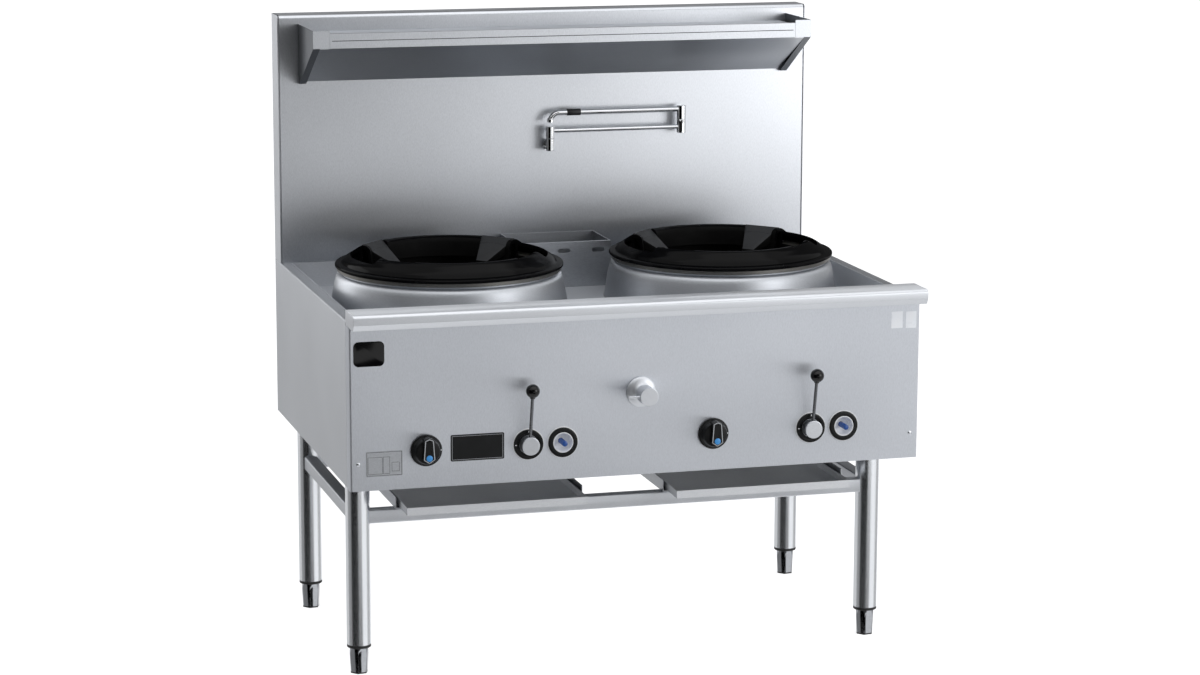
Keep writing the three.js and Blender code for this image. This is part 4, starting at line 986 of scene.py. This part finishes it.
spout = dict(y=336, knee=302, upper=1077, rose=(0, 359.9, 1004))
tubes = dict(  # corners, radius, bend and sides
    nipple=([(0, 336, 1004), (0, 365.6, 1004)], 8.6, 0, 40),
    tail=([(0, 364, 1004), (0, 390.5, 1004)], 7.2, 0, 24),
    lower=([(8, 336, 1037.5), (295, 336, 1037.5)], 4.8, 0, 32),
    upper=([(295, 336, 1077), (0, 336, 1077), (0, 336, 1056)], 6, 20, 32),
)
turned = dict(
    post=[(0, 993), (8.7, 993), (9.5, 993.8), (9.5, 1020), (9, 1020.6), (6, 1020.7), (6, 1041), (0, 1041)],
    rose=[(8, 0), (11.4, 0), (12.5, -1.2), (12.5, -5.6), (8, -5.6)],
    collar=[(6.3, 1021), (9, 1021), (9.5, 1021.6), (9.5, 1046.2), (8.8, 1047), (0, 1047), (0, 1041.4), (6.3, 1041.4)],
    knee=[(0, 1024), (9.4, 1024), (10.2, 1024.8), (10.2, 1053.8), (9.8, 1054.4), (6, 1054.5), (6, 1077), (0, 1077)],
    cap=[(6.3, 1054.8), (9.8, 1054.8), (10.2, 1055.2), (10.2, 1084.2), (9.4, 1085), (0, 1085), (0, 1077.4),
         (6.3, 1077.4)],
    mouth=[(0, 1059), (4.4, 1059), (4.4, 1056), (6.6, 1056), (6.9, 1056.4), (6.9, 1063.6), (6.4, 1064.4),
           (5.8, 1064.4)],
    sleeve=[(5.9, 37), (6.9, 37), (7.25, 37.6), (7.25, 67.4), (6.9, 68), (5.9, 68)],
)


def upright(name, x=0):
    return moved(lathe(turned[name], 48), x, spout["y"], 0)


def makeSpout():
    rose = moved(turnedBy(lathe(turned["rose"], 56, True), -90, "X"), *spout["rose"])
    elbow = gathered(upright("post"), pipe(*tubes["nipple"]), rose, pipe(*tubes["tail"]))
    finishPiece("spoutWallElbow", elbow, chromePlate, replaced="spout_wall_elbow")
    lowerArm = gathered(upright("collar"), pipe(*tubes["lower"]), upright("knee", spout["knee"]))
    finishPiece("spoutLowerArm", lowerArm, chromePlate, "spout_lower_body", "spout_lower_arm")
    upperArm = gathered(upright("cap", spout["knee"]), pipe(*tubes["upper"]), upright("mouth"))
    finishPiece("spoutUpperArm", upperArm, chromePlate, "spout_upper_body", "spout_upper_arm")
    sleeve = moved(turnedBy(lathe(turned["sleeve"], 40, True), 90, "Y"), 0, spout["y"], spout["upper"])
    finishPiece("spoutSleeve", sleeve, blackRubber, "spout_upper_body")


makeSpout()
print("spout made")

# CAD nodes that keep their shape, with their materials

keptNodes = {
    "deck_pan": deckSteel, "ladle_basin": coarseX, "shelf": splashSteel, "burner_bearer": satinX,
    "gas_manifold": pipeSteel, "water_riser": pipeSteel, "water_inlet_pipe": pipeSteel,
}
keptPairs = {
    "shelf_bracket_": coarseYPaintedShade, "drip_tray_": paintedLightMillSteel, "tray_runner_left_": satinY, "tray_runner_right_": satinY,
    "burner_": castIron, "gas_cock_": machinedBrass, "lever_valve_": machinedBrass,
}
keptNodes.update({node + hand: look for node, look in keptPairs.items() for hand in signs})
for nodeName, nodeMaterial in keptNodes.items():
    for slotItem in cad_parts[nodeName].material_slots:
        slotItem.material = nodeMaterial
print("kept nodes dressed:", len(keptNodes))

# Floor, studio and light

white = (1, 1, 1, 1)
studio = dict(worldStrength=0.62, floorColour="#c3c4c6", floorGlow=0.78, floorSize=(40, 40), lampTarget=(0, 0, 0.8))
lamps = {
    "key": dict(power=34, size=1.7, place=(2.6, -3.2, 1.35)),
    "top": dict(power=38, size=4, place=(0.3, -0.9, 3.4)),
}


def stagePlane(name, place, size, target, material, glossyOnly=True):
    bm = bmesh.new()
    bmesh.ops.create_grid(bm, x_segments=1, y_segments=1, size=0.5)
    item = addMesh(name, bm, [material])
    item.scale = (*size, 1)
    item.location = place
    if target is not None:
        item.rotation_euler = (Vector(target) - Vector(place)).to_track_quat("Z", "Y").to_euler()
    if glossyOnly:
        item.visible_camera = False
        item.visible_diffuse = False
        item.visible_shadow = False
    return item


def seenDirectly(tree):
    # 1 for camera, glossy and transmission rays, 0 for the rest
    path = addNode(tree, "ShaderNodeLightPath").outputs
    seen = path["Is Camera Ray"]
    for ray in ("Is Glossy Ray", "Is Transmission Ray"):
        seen = addNode(tree, "ShaderNodeMath", {"operation": "MAXIMUM", 0: seen, 1: path[ray]}).outputs[0]
    return seen


def makeFloor():
    material = bpy.data.materials.new("paleFloor")
    tree = emptyTree(material)
    matt = addNode(tree, "ShaderNodeBsdfDiffuse", {"Color": linearColour(studio["floorColour"])})
    strength = spread(tree, seenDirectly(tree), 0, studio["floorGlow"], 0, 1)
    glow = addNode(tree, "ShaderNodeEmission", {"Color": white, "Strength": strength})
    both = addNode(tree, "ShaderNodeAddShader", {0: matt.outputs[0], 1: glow.outputs[0]})
    addNode(tree, "ShaderNodeOutputMaterial", {"Surface": both.outputs[0]})
    floor = stagePlane("floor", (0, 0, 0), studio["floorSize"], None, material, False)
    floor.visible_glossy = False


# Far cards that only metal and gloss show: azimuth from the front towards +X, height of the
# middle, width and height, and how bright the card is.
cards = {
    "cardFrontLeft": dict(azimuth=-52, away=9.4, middle=-0.2, size=(17.5, 10.5), level=0),
    "cardLow": dict(azimuth=7, away=9.2, middle=-4, size=(5.4, 4.2), level=0),
    "cardUpper": dict(azimuth=-8, away=9, middle=3.4, size=(7.5, 6.4), level=0.05),
    "cardBehind": dict(azimuth=166, away=10, middle=7, size=(16, 15), level=0.2),
    "cardLeft": dict(azimuth=-92, away=10, middle=-1, size=(7.5, 9), level=0.3),
    "cardBackLeft": dict(azimuth=-150, away=10, middle=-3.4, size=(16, 7.4), level=0.72),
    "cardRight": dict(azimuth=98, away=10, middle=-1, size=(7.5, 9), level=0.5),
    "cardRim": dict(azimuth=-138, away=8, middle=3.3, size=(4.5, 5.6), level=2.4),
}


def makeCards():
    for name, card in cards.items():
        material = bpy.data.materials.new(name)
        tree = emptyTree(material)
        tone = addNode(tree, "ShaderNodeEmission", {"Color": white, "Strength": card["level"]})
        addNode(tree, "ShaderNodeOutputMaterial", {"Surface": tone.outputs[0]})
        angle, away, middle = math.radians(card["azimuth"]), card["away"], card["middle"]
        place = (away * math.sin(angle), -away * math.cos(angle), middle)
        stagePlane(name, place, card["size"], (0, 0, middle), material)


def makeLights():
    for name, lamp in lamps.items():
        data = bpy.data.lights.new(name, "AREA")
        data.shape = "SQUARE"
        data.size = lamp["size"]
        data.energy = lamp["power"]
        item = addObject(name, data)
        item.location = lamp["place"]
        way = Vector(studio["lampTarget"]) - Vector(lamp["place"])
        item.rotation_euler = way.to_track_quat("-Z", "Y").to_euler()
        item.visible_camera = False


def makeWorld():
    world = bpy.data.worlds.new("studio")
    bpy.context.scene.world = world
    tree = emptyTree(world)
    strength = spread(tree, seenDirectly(tree), studio["worldStrength"], 1, 0, 1)
    sky = addNode(tree, "ShaderNodeBackground", {"Color": white, "Strength": strength})
    addNode(tree, "ShaderNodeOutputWorld", {"Surface": sky.outputs[0]})


makeFloor()
makeCards()
makeLights()
makeWorld()
bpy.context.scene.view_settings.view_transform = "Standard"
print("studio made")
